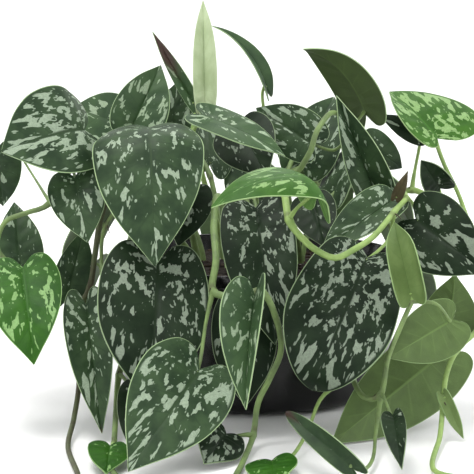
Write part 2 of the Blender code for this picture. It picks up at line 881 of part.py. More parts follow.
def make_stem(stem, parts, materials):
    """A stem fused with its petioles and its small leaves."""
    repeats = collection_named(f"{stem.name}_repeats")
    points, radii = sampled_stem(stem)
    kind = "stem_brown" if stem.woody else "stem_green"
    body = add_object(stem.name, tube_mesh(stem.name, points, radii), parts, materials[kind])
    for leaf in stem.leaves:
        route = petiole_route(leaf, stem.route[leaf.joint])
        radius = PETIOLE_RADIUS * leaf.petiole
        tube = tube_mesh(leaf.name, route, [radius] * len(route))
        add_object(f"{leaf.name}_petiole", tube, repeats)
        if leaf.fused:
            blade = blade_mesh(leaf, FUSED_ROWS, FUSED_COLUMNS)
            add_object(f"{leaf.name}_blade", blade, repeats)
    if repeats.objects:
        union = body.modifiers.new("Grown together", "BOOLEAN")
        union.operation = "UNION"
        union.operand_type = "COLLECTION"
        union.collection = repeats
        union.solver = "MANIFOLD"
        bake(body)
    for piece in list(repeats.objects):
        bpy.data.objects.remove(piece)
    bpy.data.collections.remove(repeats)
    body.data.materials.clear()
    body.data.materials.append(materials[kind])
    return body


def main():
    """The whole plant in its pot."""
    for piece in list(bpy.data.objects):
        bpy.data.objects.remove(piece)
    parts = collection_named("satin_pothos")
    cutters = collection_named("cutters")
    materials = {
        "leaf_satin": finish("leaf_satin", (0.045, 0.095, 0.045), 0.5),
        "leaf_young": finish("leaf_young", (0.10, 0.30, 0.06), 0.45),
        "stem_green": finish("stem_green", (0.28, 0.42, 0.14), 0.5),
        "stem_brown": finish("stem_brown", (0.10, 0.09, 0.04), 0.7),
    }
    stems = STEMS + BACK_SPRAYS
    make_pot(parts, cutters)
    make_soil(stems, parts, cutters)
    for stem in stems:
        make_stem(stem, parts, materials)
        for leaf in stem.leaves:
            if not leaf.fused:
                make_leaf(leaf, parts, materials)


main()
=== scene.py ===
"""A satin pothos in its glossy black pot, dressed for its picture.

Every leaf, stem, the soil and the pot is a finer piece in the place of its plain solid. The
plant is laid out as it is seen from the front, so a place on it is often given by where it
shows in a square front view and by how far it lies in front of the pot's axis.
"""

import logging
from dataclasses import dataclass, field
from enum import Enum
from functools import reduce
from math import atan2, cos, exp, pi, radians, sin, sqrt
from random import Random

import bmesh
import bpy
from mathutils import Matrix, Vector, noise


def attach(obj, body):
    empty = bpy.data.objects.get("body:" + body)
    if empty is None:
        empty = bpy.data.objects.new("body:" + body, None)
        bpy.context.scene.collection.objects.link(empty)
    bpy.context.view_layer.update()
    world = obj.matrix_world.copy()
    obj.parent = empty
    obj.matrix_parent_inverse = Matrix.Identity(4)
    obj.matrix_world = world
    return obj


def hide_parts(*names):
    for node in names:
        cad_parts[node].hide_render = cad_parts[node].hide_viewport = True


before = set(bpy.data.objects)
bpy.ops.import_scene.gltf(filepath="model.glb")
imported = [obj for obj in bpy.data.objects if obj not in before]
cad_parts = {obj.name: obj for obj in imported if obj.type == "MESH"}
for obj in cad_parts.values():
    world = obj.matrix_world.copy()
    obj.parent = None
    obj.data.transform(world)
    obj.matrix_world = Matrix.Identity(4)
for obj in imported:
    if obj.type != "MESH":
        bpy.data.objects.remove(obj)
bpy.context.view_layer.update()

log = logging.getLogger("satin_pothos")

Socket = bpy.types.NodeSocket
Pair = tuple[float, float]
Triple = tuple[float, float, float]
Colour = Triple

MM = 0.001

# The soil's top, and how deep the stems stand in it, as in the solids
SOIL_TOP = 88 * MM
ROOTED_DEPTH = 14 * MM

# Stems. One rises straight out of the soil before it bends. Nearness to a joint runs from 0
# to 1, and a root starts only above this level of it.
SAMPLE_LENGTH = 4 * MM
NODE_SWELL = 1.3
STRAIGHT_RISE = 10 * MM
JOINT_LEVEL = 0.9

# Petioles. One ends a little past its blade's notch and below its face, and arrives between
# the blade's normal and its midrib, by these shares of the two.
PETIOLE_RADIUS = 1.5 * MM
PETIOLE_STEPS = 18
PETIOLE_INSET = 0.6 * MM
PETIOLE_SINK = 0.8
ARRIVAL = (0.9, 0.44)
FUSED_ARRIVAL = (0.7, 0.7)

# Blades. A crook and a hook bend these shares of the length. A blade that heads for a point
# faces outwards, and up by this rise.
BLADE_THICKNESS = 0.8 * MM
VEIN_SWEEP = 2.4
MIDRIB_STEPS = 60
CROOK_SHARE = 0.3
HOOK_SHARE = 0.35
NO_CURL = 1e-6
FACE_RISE = 0.8

# Waves along the margin, and how a blade's skew shifts them
WAVE_HEIGHT = 1 * MM
RIPPLES = 1.6
RIPPLE_SHIFT = 9

# The swell between the side veins, which fades at both ends, and the groove of the midrib
SIDE_VEINS = 9
VEIN_RELIEF = 0.22 * MM
END_SHARE = 0.06
RIB_RELIEF = 0.55 * MM
RIB_REACH = 1.3 * MM

# Points that lie nearer than this are one
MERGE_GAP = 0.01 * MM
TUBE_MERGE_GAP = 0.001 * MM

# Half of a heart-shaped blade, from the notch round the lobe to the tip, in shares of
# the width and of the length.
HEART_MARGIN = (
    (0.00, 0.00),
    (0.15, -0.13),
    (0.34, -0.12),
    (0.47, 0.04),
    (0.50, 0.24),
    (0.43, 0.48),
    (0.28, 0.70),
    (0.11, 0.88),
    (0.00, 1.00),
)

# Front view: a square picture of the plant, with the eye in front of the pot
VIEW_PIXELS = 474
VIEW_FOCAL_PIXELS = 1169
EYE = Vector((-13.9 * MM, -880 * MM, 235.3 * MM))
EYE_PITCH = radians(8)

# How far what lies on the surface stays clear of it
FLOOR_GAP = 0.6 * MM


def line_of_sight(across: float, down: float) -> Vector:
    """The direction from the eye through a picture position.

    Args:
        across: Pixels from the picture's left edge.
        down: Pixels from its top edge.

    Returns:
        A unit vector.
    """
    middle = VIEW_PIXELS / 2
    right = (across - middle) / VIEW_FOCAL_PIXELS
    up = (middle - down) / VIEW_FOCAL_PIXELS
    ahead = Vector((0, cos(EYE_PITCH), -sin(EYE_PITCH)))
    top = Vector((0, sin(EYE_PITCH), cos(EYE_PITCH)))
    return (ahead + Vector((right, 0, 0)) + top * up).normalized()


def seen(across: float, down: float, forward: float) -> Vector:
    """The point at a picture position, so many millimetres in front of the pot's axis."""
    ray = line_of_sight(across, down)
    reach = (-forward * MM - EYE.y) / ray.y
    return EYE + ray * reach


def seen_on_floor(across: float, down: float, radius: float = 2.5) -> Vector:
    """The middle of a stem that lies on the surface, at a picture position."""
    ray = line_of_sight(across, down)
    reach = (radius * MM + FLOOR_GAP - EYE.z) / ray.z
    return EYE + ray * reach


def at(x: float, y: float, z: float) -> Vector:
    """A point in millimetres."""
    return Vector((x, y, z)) * MM


def ease(share: float) -> float:
    """A smooth rise from 0 to 1 as the share runs from 0 to 1."""
    share = min(max(share, 0), 1)
    return share * share * (3 - 2 * share)


def smooth_point(points: list[Vector], place: float) -> Vector:
    """The point at a place from 0 to 1 on the smooth curve through the points."""
    spans = len(points) - 1
    span = min(int(place * spans), spans - 1)
    t = place * spans - span
    before = points[max(span - 1, 0)]
    start = points[span]
    end = points[span + 1]
    after = points[min(span + 2, spans)]
    return (
        start * 2
        + (end - before) * t
        + (before * 2 - start * 5 + end * 4 - after) * t * t
        + (start * 3 - before - end * 3 + after) * t * t * t
    ) / 2


def bezier(start: Vector, leave: Vector, close: Vector, end: Vector, t: float) -> Vector:
    """The point at t on a cubic Bezier curve."""
    s = 1 - t
    return start * s**3 + leave * 3 * s * s * t + close * 3 * s * t * t + end * t**3


def bump_at(value: float, middle: float, reach: float) -> float:
    """A smooth bump of height 1 round a middle, which fades over its reach."""
    return exp(-(((value - middle) / reach) ** 2))


def shaded(colour: Colour, share: float) -> Colour:
    """A colour made darker or lighter by a share."""
    return tuple(part * share for part in colour)


def arc(middle: Pair, reach: Pair, start: float, end: float, steps: int) -> list[Pair]:
    """An arc in a section that will be turned.

    Args:
        middle: Its middle, as radius and height.
        reach: How far it reaches outwards and upwards from there.
        start: The angle of its first point, in degrees from straight outwards.
        end: The angle of its last point.
        steps: The number of steps between them.

    Returns:
        Its points, as radius and height.
    """
    points = []
    for step in range(steps + 1):
        angle = radians(start + (end - start) * step / steps)
        points.append((middle[0] + reach[0] * cos(angle), middle[1] + reach[1] * sin(angle)))
    return points


@dataclass
class Leaf:
    """One leaf: a petiole from a stem to a blade.

    base is where the petiole meets the blade. tip is a picture position, or a point that
    the blade heads for, and near says whether the tip lies nearer to the eye than the base.
    fold raises both halves at the midrib and curl bends them on towards the margin. arch
    bends the blade along its length, crook near its base and hook near its tip. blunt widens
    it towards the tip, skew widens one half, and lobe lengthens the lobes behind the notch.
    The petiole's size is a share of the usual one, and via are places on its way. Angles are
    in degrees, lengths in millimetres. A fused leaf is part of its stem's piece.
    """

    name: str
    joint: int
    base: Vector
    tip: object
    length: float
    width: float
    near: bool = True
    roll: float = 0
    fold: float = 10
    curl: float = -14
    arch: float = 20
    skew: float = 0.05
    lobe: float = 1.0
    crook: float = 0
    hook: float = 0
    blunt: float = 0.15
    underside: bool = False
    fused: bool = False
    young: bool = False
    petiole: float = 1.0
    via: tuple = ()


@dataclass
class Stem:
    """One stem, from its hole in the soil along its route, with the leaves that it bears."""

    name: str
    root: tuple[float, float]
    radius: float
    route: list[Vector]
    leaves: list[Leaf] = field(default_factory=list)
    woody: bool = False


STEMS: list[Stem] = [
    Stem(
        "stem_left_crown",
        root=(-48, -8),
        radius=2.4,
        route=[
            seen(150, 205, 30),
            seen(126, 168, 48),
            seen(99, 155, 64),
            seen(72, 168, 74),
            seen(50, 203, 80),
            seen(26, 213, 82),
            seen(5, 222, 86),
            seen(-3, 246, 92),
            seen(7, 262, 92),
        ],
        leaves=[
            Leaf("leaf_left_drooping", 2, seen(84, 130, 74), (1, 152), 68, 62, arch=36, roll=18, lobe=1.5,
                 crook=20, blunt=0.6),
            Leaf("leaf_left_edge", 4, seen(-3, 150, 52), (3, 206), 46, 34, near=False, petiole=0.7,
                 via=(seen(32, 174, 44), seen(10, 142, 36))),
            Leaf("leaf_left_back", 1, seen(124, 126, 8), (74, 107), 50, 40, near=False,
                 via=(seen(136, 148, 16), seen(132, 132, 3))),
            Leaf("leaf_left_round", 3, seen(75, 178, 94), (88, 243), 48, 38, arch=14, fold=4),
            Leaf("leaf_left_upright", 8, seen(21, 267, 76), (14, 202), 50, 32, near=False,
                 via=(seen(10, 281, 84), seen(20, 281, 70))),
            Leaf("leaf_left_bright", 8, seen(23, 268, 108), (34, 365), 74, 50, arch=22, young=True),
        ],
    ),
    Stem(
        "stem_left_trailing",
        root=(-72, -22),
        radius=2.3,
        woody=True,
        route=[
            seen(138, 206, 50),
            seen(113, 192, 62),
            seen(101, 218, 72),
            seen(95, 255, 80),
            seen(90, 287, 86),
            seen(79, 310, 94),
            seen(76, 343, 104),
            seen(79, 382, 120),
            seen(74, 418, 138),
            seen_on_floor(68, 447),
            seen_on_floor(78, 476),
            at(-108, -246, 4.2),
            at(-92, -268, 3.4),
        ],
        leaves=[
            Leaf("leaf_left_standing", 5, seen(67, 299, 80), (84, 229), 52, 28, near=False,
                 via=(seen(73, 315, 77),)),
            Leaf("leaf_left_long", 5, seen(86, 306, 114), (102, 434), 88, 32, fold=24),
            Leaf("leaf_floor_left", 11, at(-122, -262, 8), at(-168, -276, 6), 46, 34, arch=5, roll=42,
                 young=True, via=(at(-114, -254, 6),)),
            Leaf("bud_left", 4, seen(94, 298, 94), (110, 295), 14, 7, fused=True, young=True,
                 petiole=0.6),
        ],
    ),
    Stem(
        "stem_left_front",
        root=(-42, -46),
        radius=2.5,
        route=[
            seen(186, 216, 64),
            seen(170, 214, 84),
            seen(156, 234, 104),
            seen(146, 280, 106),
            seen(130, 335, 108),
            seen(119, 375, 124),
            seen(116, 410, 142),
            seen_on_floor(114, 445),
            seen_on_floor(112, 470),
            at(-76, -240, 3.4),
        ],
        leaves=[
            Leaf("leaf_front_silver", 2, seen(158, 262, 122), (148, 402), 97, 70, arch=12, roll=-8,
                 blunt=0.7, hook=24),
            Leaf("leaf_shadow_left", 1, seen(192, 190, 80), (178, 247), 44, 34),
            Leaf("leaf_low_dark", 5, seen(137, 388, 142), (128, 446), 43, 22),
            Leaf("leaf_low_left", 7, seen(110, 446, 190), (106, 474), 36, 25, arch=5, young=True),
        ],
    ),
    Stem(
        "stem_centre_front",
        root=(-6, -58),
        radius=2.6,
        route=[
            seen(220, 198, 84),
            seen(214, 224, 116),
            seen(216, 260, 138),
            seen(213, 291, 146),
            seen(237, 296, 152),
            seen(262, 292, 154),
            seen(276, 318, 152),
            seen(281, 350, 150),
            seen(270, 378, 152),
            seen(258, 403, 158),
            seen(253, 436, 168),
            seen_on_floor(242, 464),
            at(-16, -240, 3.4),
            at(-8, -266, 3.4),
        ],
        leaves=[
            Leaf("leaf_front_low", 3, seen(199, 370, 174), (128, 472), 84, 62, lobe=1.1,
                 via=(seen(206, 322, 152), seen(201, 356, 164))),
            Leaf("leaf_front_narrow", 5, seen(255, 296, 166), (246, 410), 76, 40, fold=44, curl=10,
                 roll=24),
            Leaf("leaf_centre_large", 0, seen(256, 208, 96), (275, 345), 98, 49, fold=16, lobe=0.5,
                 blunt=0.5, via=(seen(240, 198, 84), seen(253, 198, 86))),
            Leaf("leaf_centre_dark", 0, seen(246, 304, 119.5), (246, 406), 68, 42, blunt=0.6,
                 arch=8, via=(seen(226, 228, 90), seen(236, 262, 107), seen(243, 289, 113.8))),
            Leaf("leaf_low_mottled", 10, seen(226, 434, 180), (204, 464), 36, 32, arch=10),
        ],
    ),
    Stem(
        "stem_right_bright",
        root=(26, -30),
        radius=2.7,
        route=[
            seen(270, 184, 70),
            seen(283, 190, 108),
            seen(289, 220, 132),
            seen(302, 238, 139),
            seen(316, 250, 142),
            seen(335, 258, 142),
            seen(353, 250, 137),
            seen(374, 236, 129),
            seen(394, 212, 110),
            seen(407, 198, 90),
        ],
        leaves=[
            Leaf("leaf_lime_arching", 2, seen(317, 193, 146), (211, 208), 88, 44, arch=60, crook=44,
                 roll=60, lobe=1.4, fold=-4, curl=-20, young=True),
            Leaf("leaf_right_large", 8, seen(367, 258, 114), (312, 390), 116, 61, arch=14, blunt=1.5,
                 lobe=0.6, hook=90, via=(seen(388, 240, 99),)),
            Leaf("leaf_right_slanting", 9, seen(393, 200, 75), (318, 258), 71, 32, roll=28, fold=20,
                 lobe=0.5, via=(seen(403, 192, 69),)),
            Leaf("leaf_right_round", 9, seen(416, 219, 85), (488, 274), 66, 54, arch=14,
                 via=(seen(413, 204, 77),)),
            Leaf("bract_right", 9, seen(396, 198, 84), (408, 171), 24, 8, fused=True, petiole=0.6),
        ],
    ),
    Stem(
        "stem_right_top",
        root=(34, 2),
        radius=2.5,
        route=[
            seen(288, 190, 52),
            seen(302, 166, 66),
            seen(311, 150, 72),
            seen(317, 131, 72),
            seen(331, 113, 62),
            seen(344, 119, 50),
            seen(352, 133, 40),
        ],
        leaves=[
            Leaf("leaf_top_olive", 6, seen(366, 114, 16), (303, 49), 78, 44, arch=70, underside=True,
                 roll=-50),
            Leaf("leaf_top_grey", 6, seen(312, 144, 38), (256, 108), 54, 38, near=False,
                 via=(seen(334, 150, 28),)),
            Leaf("leaf_right_curled", 6, seen(366, 142, 38), (402, 168), 38, 28, curl=-50, near=False),
            Leaf("leaf_shadow_lower", 0, seen(312, 200, 62), (325, 248), 42, 32),
        ],
    ),
    Stem(
        "stem_right_front",
        root=(48, -34),
        radius=2.4,
        route=[
            seen(340, 240, 58),
            seen(350, 240, 82),
            seen(350, 262, 97),
            seen(348, 292, 105),
            seen(348, 335, 112),
            seen(352, 375, 126),
            seen(364, 397, 156),
            seen(381, 394, 164),
            seen(388, 358, 162),
            seen(400, 328, 157),
            seen(412, 301, 150),
        ],
        leaves=[
            Leaf("leaf_new_furled", 10, seen(411, 296, 150), (394, 222), 52, 34, fused=True, fold=24,
                 curl=60, young=True, near=False),
            Leaf("leaf_right_grey", 10, seen(452, 320, 136), (388, 358), 52, 38, underside=True,
                 via=(seen(436, 304, 150),)),
            Leaf("leaf_low_slim", 7, seen(393, 416, 188), (402, 470), 60, 15, curl=10, petiole=0.8),
            Leaf("leaf_low_heart", 5, seen(272, 461, 208), (277, 486), 34, 31, young=True, arch=10,
                 via=(seen(322, 397, 146), seen(308, 430, 168), seen(292, 456, 194))),
            Leaf("leaf_low_hooked", 7, seen(352, 468, 228), (286, 412), 62, 15, near=False, curl=30,
                 hook=50, fused=True,
                 via=(seen(376, 430, 174), seen(373, 458, 202), seen(363, 470, 223))),
        ],
    ),
    Stem(
        "stem_right_outer",
        root=(66, 4),
        radius=2.3,
        route=[
            seen(385, 208, 20),
            seen(412, 190, 24),
            seen(444, 210, 30),
            seen(476, 248, 40),
            seen(490, 290, 70),
            seen(480, 326, 102),
            seen(457, 350, 122),
            seen(446, 376, 134),
            seen(443, 406, 146),
            seen(440, 436, 162),
            seen_on_floor(434, 470),
            at(124, -236, 3.4),
            at(108, -262, 3.4),
        ],
        leaves=[
            Leaf("leaf_right_folded", 0, seen(377, 197, 42), (336, 95), 82, 35, fold=42),
            Leaf("leaf_right_bright", 3, seen(437, 138, 36), (389, 92), 60, 62, roll=47, skew=0.4,
                 fold=12, near=False, young=True, petiole=1.3,
                 via=(seen(460, 198, 34), seen(444, 164, 28))),
            Leaf("leaf_right_tucked", 1, seen(421, 137, 18), (379, 114), 36, 16, fused=True),
            Leaf("leaf_right_cupped", 2, seen(440, 188, 52), (421, 160), 28, 26, curl=50),
            Leaf("leaf_right_olive", 5, seen(450, 331, 90), (455, 274), 42, 38, underside=True,
                 near=False, via=(seen(466, 340, 106),)),
            Leaf("leaf_low_green", 6, seen(442, 354, 112), (331, 444), 106, 52, underside=True),
            Leaf("leaf_floor_right", 11, at(138, -246, 12), at(182, -262, 8), 46, 34, arch=5),
            Leaf("leaf_small_curled", 8, seen(444, 396, 144), (464, 440), 30, 11, fused=True, young=True,
                 curl=50, petiole=0.7),
        ],
    ),
    Stem(
        "stem_top_left",
        root=(-22, -6),
        radius=2.5,
        route=[
            seen(208, 195, 28),
            seen(199, 162, 36),
            seen(192, 134, 38),
        ],
        leaves=[
            Leaf("leaf_new_upright", 2, seen(205, 101, 42), (203, 0), 76, 24, fold=34, curl=24,
                 young=True, near=False),
            Leaf("leaf_new_brown", 2, seen(194, 104, 24), (152, 31), 62, 12, fused=True, fold=30,
                 near=False, petiole=0.8),
            Leaf("leaf_top_folded", 2, seen(131, 128, 34), (161, 65), 52, 42, near=False, fold=26),
            Leaf("leaf_top_small", 2, seen(172, 130, 20), (177, 82), 38, 28, near=False,
                 via=(seen(183, 145, 14),)),
            Leaf("leaf_front_heart", 1, seen(150, 128, 88), (155, 267), 106, 76, arch=24, crook=44,
                 fold=4, curl=-32),
            Leaf("leaf_top_green", 2, seen(203, 115, 62), (285, 156), 66, 31, roll=-48),
        ],
    ),
    Stem(
        "stem_top_centre",
        root=(4, 12),
        radius=2.4,
        route=[
            seen(256, 190, -6),
            seen(259, 150, 2),
            seen(264, 118, 6),
        ],
        leaves=[
            Leaf("leaf_new_leaning", 2, seen(266, 88, 10), (212, 26), 64, 15, fused=True, fold=30,
                 arch=70, roll=50, young=True),
            Leaf("leaf_shadow_centre", 1, seen(240, 128, 24), (268, 178), 52, 46),
        ],
    ),
]


# Stems over the back rim: how many millimetres from the pot's axis each one roots, rises
# from the soil and has its crest, how far it still swings out below, and how far its other
# knots lie under the crest
SPRAY_ROOT = 46
SPRAY_RADIUS = 2.4
SPRAY_RISE = 62
SPRAY_CREST = 96
SPRAY_SWING = 4 * MM
SPRAY_DROPS = (18 * MM, 34 * MM, 74 * MM)

# Their leaves: the knot that bears each one, the side that it leans to, how far it droops in
# millimetres, its length and its width
SPRAY_LEAVES: tuple = (
    (0, 0.2, -30, 64, 44),
    (1, -0.5, 34, 60, 41),
    (2, 0.5, 52, 56, 38),
    (3, -0.4, 52, 52, 35),
)
SPRAY_ARCH = 34

# A leaf's base from its knot, aside, outward and up, and its tip's way from there, aside and
# outward, in millimetres
SPRAY_BASE = (20, 12, 8)
SPRAY_TIP = (16, 22)

# How much each spray and each leaf on it differs from the last, in radians of one wave, and
# what that wave does to a leaf's side, length, width and arch
VARY_BY_SPRAY = 3.7
VARY_BY_LEAF = 2.1
VARY_SIDE = 0.25
VARY_LENGTH = 6
VARY_WIDTH = 4
VARY_ARCH = 12


def hanging_spray(number: int, bearing: float, height: float, reach: float) -> Stem:
    """A leafy stem over the back rim, which bears leaves by turns on either side.

    Args:
        number: Its place in the row of such stems.
        bearing: The way it hangs out, in degrees round the pot's axis.
        height: The height of its crest.
        reach: How far out it hangs.

    Returns:
        The stem with its leaves.
    """
    turn = radians(bearing)
    outward = Vector((cos(turn), sin(turn), 0))
    aside = Vector((-sin(turn), cos(turn), 0))
    up = Vector((0, 0, 1))
    first, third, last = SPRAY_DROPS
    route = [
        outward * SPRAY_RISE * MM + up * (height - first),
        outward * SPRAY_CREST * MM + up * height,
        outward * (reach - SPRAY_SWING) + up * (height - third),
        outward * reach + up * (height - last),
    ]
    leaves = []
    for step, (along, lean, drop, length, width) in enumerate(SPRAY_LEAVES):
        vary = sin(VARY_BY_SPRAY * number + VARY_BY_LEAF * step)
        side = (lean + VARY_SIDE * vary) * (1 if number % 2 else -1)
        by, out, rise = SPRAY_BASE
        base = route[along] + aside * side * by * MM + outward * out * MM + up * rise * MM
        by, out = SPRAY_TIP
        heading = base + aside * side * by * MM + outward * out * MM - up * drop * MM
        leaves.append(
            Leaf(
                f"back_{number}_{step}",
                along,
                base,
                heading,
                length + VARY_LENGTH * vary,
                width + VARY_WIDTH * vary,
                arch=SPRAY_ARCH + VARY_ARCH * vary,
                underside=drop < 0,
                fused=True,
            )
        )
    root = outward * SPRAY_ROOT
    return Stem(f"spray_back_{number}", (root.x, root.y), SPRAY_RADIUS, route, leaves)


BACK_SPRAYS = [
    hanging_spray(1, 34, 146 * MM, 138 * MM),
    hanging_spray(2, 65, 172 * MM, 134 * MM),
    hanging_spray(3, 95, 146 * MM, 142 * MM),
    hanging_spray(4, 125, 172 * MM, 134 * MM),
    hanging_spray(5, 154, 146 * MM, 138 * MM),
]


class LeafTone(Enum):
    """The kinds of leaf, by age and by the side that shows, and a dark one with painted shade."""

    # The dark leaf darkened, as painted shade for leaves that lie in shade
    DEEP = "leaf_deep"
    DARK = "leaf_dark"
    MID = "leaf_mid"
    BRIGHT = "leaf_bright"
    LIME = "leaf_lime"
    PALE = "leaf_pale"
    FRESH = "leaf_fresh"
    BROWN = "leaf_brown"


class StemTone(Enum):
    """The kinds of stem, by age."""

    OLIVE = "stem_olive"
    LIME = "stem_lime"
    BROWN = "stem_brown"


# How each leaf is coloured, and how much of it is silver: 0 for none, 1 for most of it. Leaves that lie
# in shade get the tone with painted shade.
LEAF_LOOKS: dict[str, tuple[LeafTone, float]] = {
    "leaf_left_drooping": (LeafTone.DARK, 0.75),
    "leaf_left_edge": (LeafTone.DARK, 0.45),
    "leaf_left_back": (LeafTone.MID, 0.5),
    "leaf_left_round": (LeafTone.DARK, 0.5),
    "leaf_left_upright": (LeafTone.DARK, 0.3),
    "leaf_left_bright": (LeafTone.BRIGHT, 0.5),
    "leaf_left_standing": (LeafTone.DARK, 0.35),
    "leaf_left_long": (LeafTone.DARK, 0.55),
    "leaf_floor_left": (LeafTone.BRIGHT, 0.4),
    "leaf_front_silver": (LeafTone.DEEP, 0.62),
    "leaf_shadow_left": (LeafTone.DEEP, 0.25),
    "leaf_low_dark": (LeafTone.DEEP, 0.35),
    "leaf_low_left": (LeafTone.BRIGHT, 0.15),
    "leaf_front_low": (LeafTone.DARK, 0.65),
    "leaf_front_narrow": (LeafTone.MID, 0.55),
    "leaf_centre_large": (LeafTone.DEEP, 0.5),
    "leaf_centre_dark": (LeafTone.DEEP, 0.3),
    "leaf_low_mottled": (LeafTone.DEEP, 0.6),
    "leaf_lime_arching": (LeafTone.LIME, 0.45),
    "leaf_right_large": (LeafTone.DEEP, 0.65),
    "leaf_right_slanting": (LeafTone.DARK, 0.45),
    "leaf_right_round": (LeafTone.DEEP, 0.5),
    "leaf_right_folded": (LeafTone.DARK, 0.5),
    "leaf_top_olive": (LeafTone.MID, 0.4),
    "leaf_top_grey": (LeafTone.DARK, 0.6),
    "leaf_right_curled": (LeafTone.DARK, 0.2),
    "leaf_shadow_lower": (LeafTone.DEEP, 0.35),
    "leaf_right_grey": (LeafTone.FRESH, 0.4),
    "leaf_low_slim": (LeafTone.DEEP, 0.25),
    "leaf_low_heart": (LeafTone.BRIGHT, 0.2),
    "leaf_right_bright": (LeafTone.LIME, 0.7),
    "leaf_right_cupped": (LeafTone.DEEP, 0.3),
    "leaf_right_olive": (LeafTone.FRESH, 0.4),
    "leaf_low_green": (LeafTone.FRESH, 0.4),
    "leaf_floor_right": (LeafTone.DARK, 0.5),
    "leaf_new_upright": (LeafTone.PALE, 0.0),
    "leaf_top_folded": (LeafTone.MID, 0.5),
    "leaf_top_small": (LeafTone.DARK, 0.45),
    "leaf_front_heart": (LeafTone.DARK, 0.5),
    "leaf_top_green": (LeafTone.MID, 0.45),
    "leaf_shadow_centre": (LeafTone.DEEP, 0.35),
    "leaf_new_furled": (LeafTone.FRESH, 0.0),
    "leaf_new_brown": (LeafTone.MID, 0.3),
    "leaf_new_leaning": (LeafTone.MID, 0.0),
    "leaf_right_tucked": (LeafTone.DEEP, 0.4),
    "leaf_low_hooked": (LeafTone.DARK, 0.15),
    "leaf_small_curled": (LeafTone.FRESH, 0.0),
    "bract_right": (LeafTone.BROWN, 0.0),
    "bud_left": (LeafTone.FRESH, 0.0),
}
BACK_LOOK = (LeafTone.DARK, 0.5)

# How far from the tip a leaf has browned, as a share of its length
BROWN_TIPS = {
    "leaf_new_brown": 0.45,
    "leaf_low_hooked": 0.2,
    "leaf_left_long": 0.04,
    "leaf_low_green": 0.03,
}


class Wiring:
    """Adds shader nodes to one material and links them."""

    def __init__(self, name: str) -> None:
        """Starts a material with its shader alone."""
        self.material = bpy.data.materials.new(name)
        self.material.use_nodes = True
        self.nodes = self.material.node_tree.nodes
        self.links = self.material.node_tree.links
        self.shader = self.nodes["Principled BSDF"]

    def node(self, kind: str, **settings: object) -> bpy.types.Node:
        """A node of a kind, with its settings."""
        made = self.nodes.new(kind)
        for key, value in settings.items():
            setattr(made, key, value)
        return made

    def set(self, socket: Socket, value: object) -> None:
        """A socket linked to another socket, or given a value."""
        if isinstance(value, Socket):
            self.links.new(value, socket)
        elif isinstance(value, tuple) and len(value) == 3 and socket.type == "RGBA":
            socket.default_value = (*value, 1)
        else:
            socket.default_value = value

    def attribute(self, name: str, output: str = "Fac") -> Socket:
        """An attribute of the mesh."""
        return self.node("ShaderNodeAttribute", attribute_name=name).outputs[output]

    def place(self) -> Socket:
        """The object's own coordinates."""
        return self.node("ShaderNodeTexCoord").outputs["Object"]

    def stretched(self, vector: object, scale: Triple) -> Socket:
        """A vector multiplied axis by axis."""
        made = self.node("ShaderNodeVectorMath", operation="MULTIPLY")
        self.set(made.inputs[0], vector)
        made.inputs[1].default_value = scale
        return made.outputs[0]

    def noise(
        self, vector: object, scale: float, detail: float = 2, rough: float = 0.5, bend: float = 0
    ) -> Socket:
        """Noise from 0 to 1 over a vector."""
        made = self.node("ShaderNodeTexNoise")
        self.set(made.inputs["Vector"], vector)
        made.inputs["Scale"].default_value = scale
        made.inputs["Detail"].default_value = detail
        made.inputs["Roughness"].default_value = rough
        made.inputs["Distortion"].default_value = bend
        return made.outputs["Fac"]

    def math(self, operation: str, a: object, b: object = 0.0) -> Socket:
        """One sum on two values."""
        made = self.node("ShaderNodeMath", operation=operation)
        self.set(made.inputs[0], a)
        self.set(made.inputs[1], b)
        return made.outputs[0]

    def product(self, *values: object) -> Socket:
        """Values multiplied with each other."""
        return reduce(lambda a, b: self.math("MULTIPLY", a, b), values)

    def total(self, *values: object) -> Socket:
        """Values added up."""
        return reduce(lambda a, b: self.math("ADD", a, b), values)

    def between(
        self, value: object, low: float, high: float, start: float = 0, end: float = 1
    ) -> Socket:
        """A smooth rise from start to end as the value runs from low to high."""
        made = self.node("ShaderNodeMapRange", interpolation_type="SMOOTHSTEP")
        self.set(made.inputs["Value"], value)
        made.inputs["From Min"].default_value = low
        made.inputs["From Max"].default_value = high
        made.inputs["To Min"].default_value = start
        made.inputs["To Max"].default_value = end
        return made.outputs["Result"]

    def mix(self, share: object, first: object, second: object) -> Socket:
        """A mix of two colours."""
        made = self.node("ShaderNodeMix", data_type="RGBA")
        self.set(made.inputs[0], share)
        self.set(made.inputs[6], first)
        self.set(made.inputs[7], second)
        return made.outputs[2]

    def side_veins(self, aside: object, width: float, fade_from: float, strength: float) -> Socket:
        """A blade's side veins, as thin lines that fade out towards its margin.

        Args:
            aside: The share of the way from the midrib to the margin.
            width: Half a line's width, as a share of the space between two.
            fade_from: The share of the way where the lines start to fade.
            strength: How strong they are up to there.

        Returns:
            The lines, from 0 to their strength.
        """
        spaces = self.math("FRACT", self.product(self.attribute("vein_share"), SIDE_VEINS))
        from_line = self.math("ABSOLUTE", self.math("SUBTRACT", spaces, 0.5))
        fade = self.between(aside, 0.95, fade_from, 0, strength)
        return self.product(self.between(from_line, width, 0.0), fade)

    def bump(self, height: object, distance: float, strength: float) -> None:
        """Relief on the shader's normal, so many metres high."""
        made = self.node("ShaderNodeBump")
        made.inputs["Strength"].default_value = strength
        made.inputs["Distance"].default_value = distance
        self.set(made.inputs["Height"], height)
        self.set(self.shader.inputs["Normal"], made.outputs["Normal"])

    def finish(self, colour: object, roughness: object, **constants: float) -> bpy.types.Material:
        """The shader's colour, roughness and constants.

        Args:
            colour: A colour or a socket.
            roughness: A number or a socket.
            **constants: Other inputs by name, with _ for each space.

        Returns:
            The finished material.
        """
        self.set(self.shader.inputs["Base Color"], colour)
        self.set(self.shader.inputs["Roughness"], roughness)
        for key, value in constants.items():
            self.shader.inputs[key.replace("_", " ")].default_value = value
        return self.material


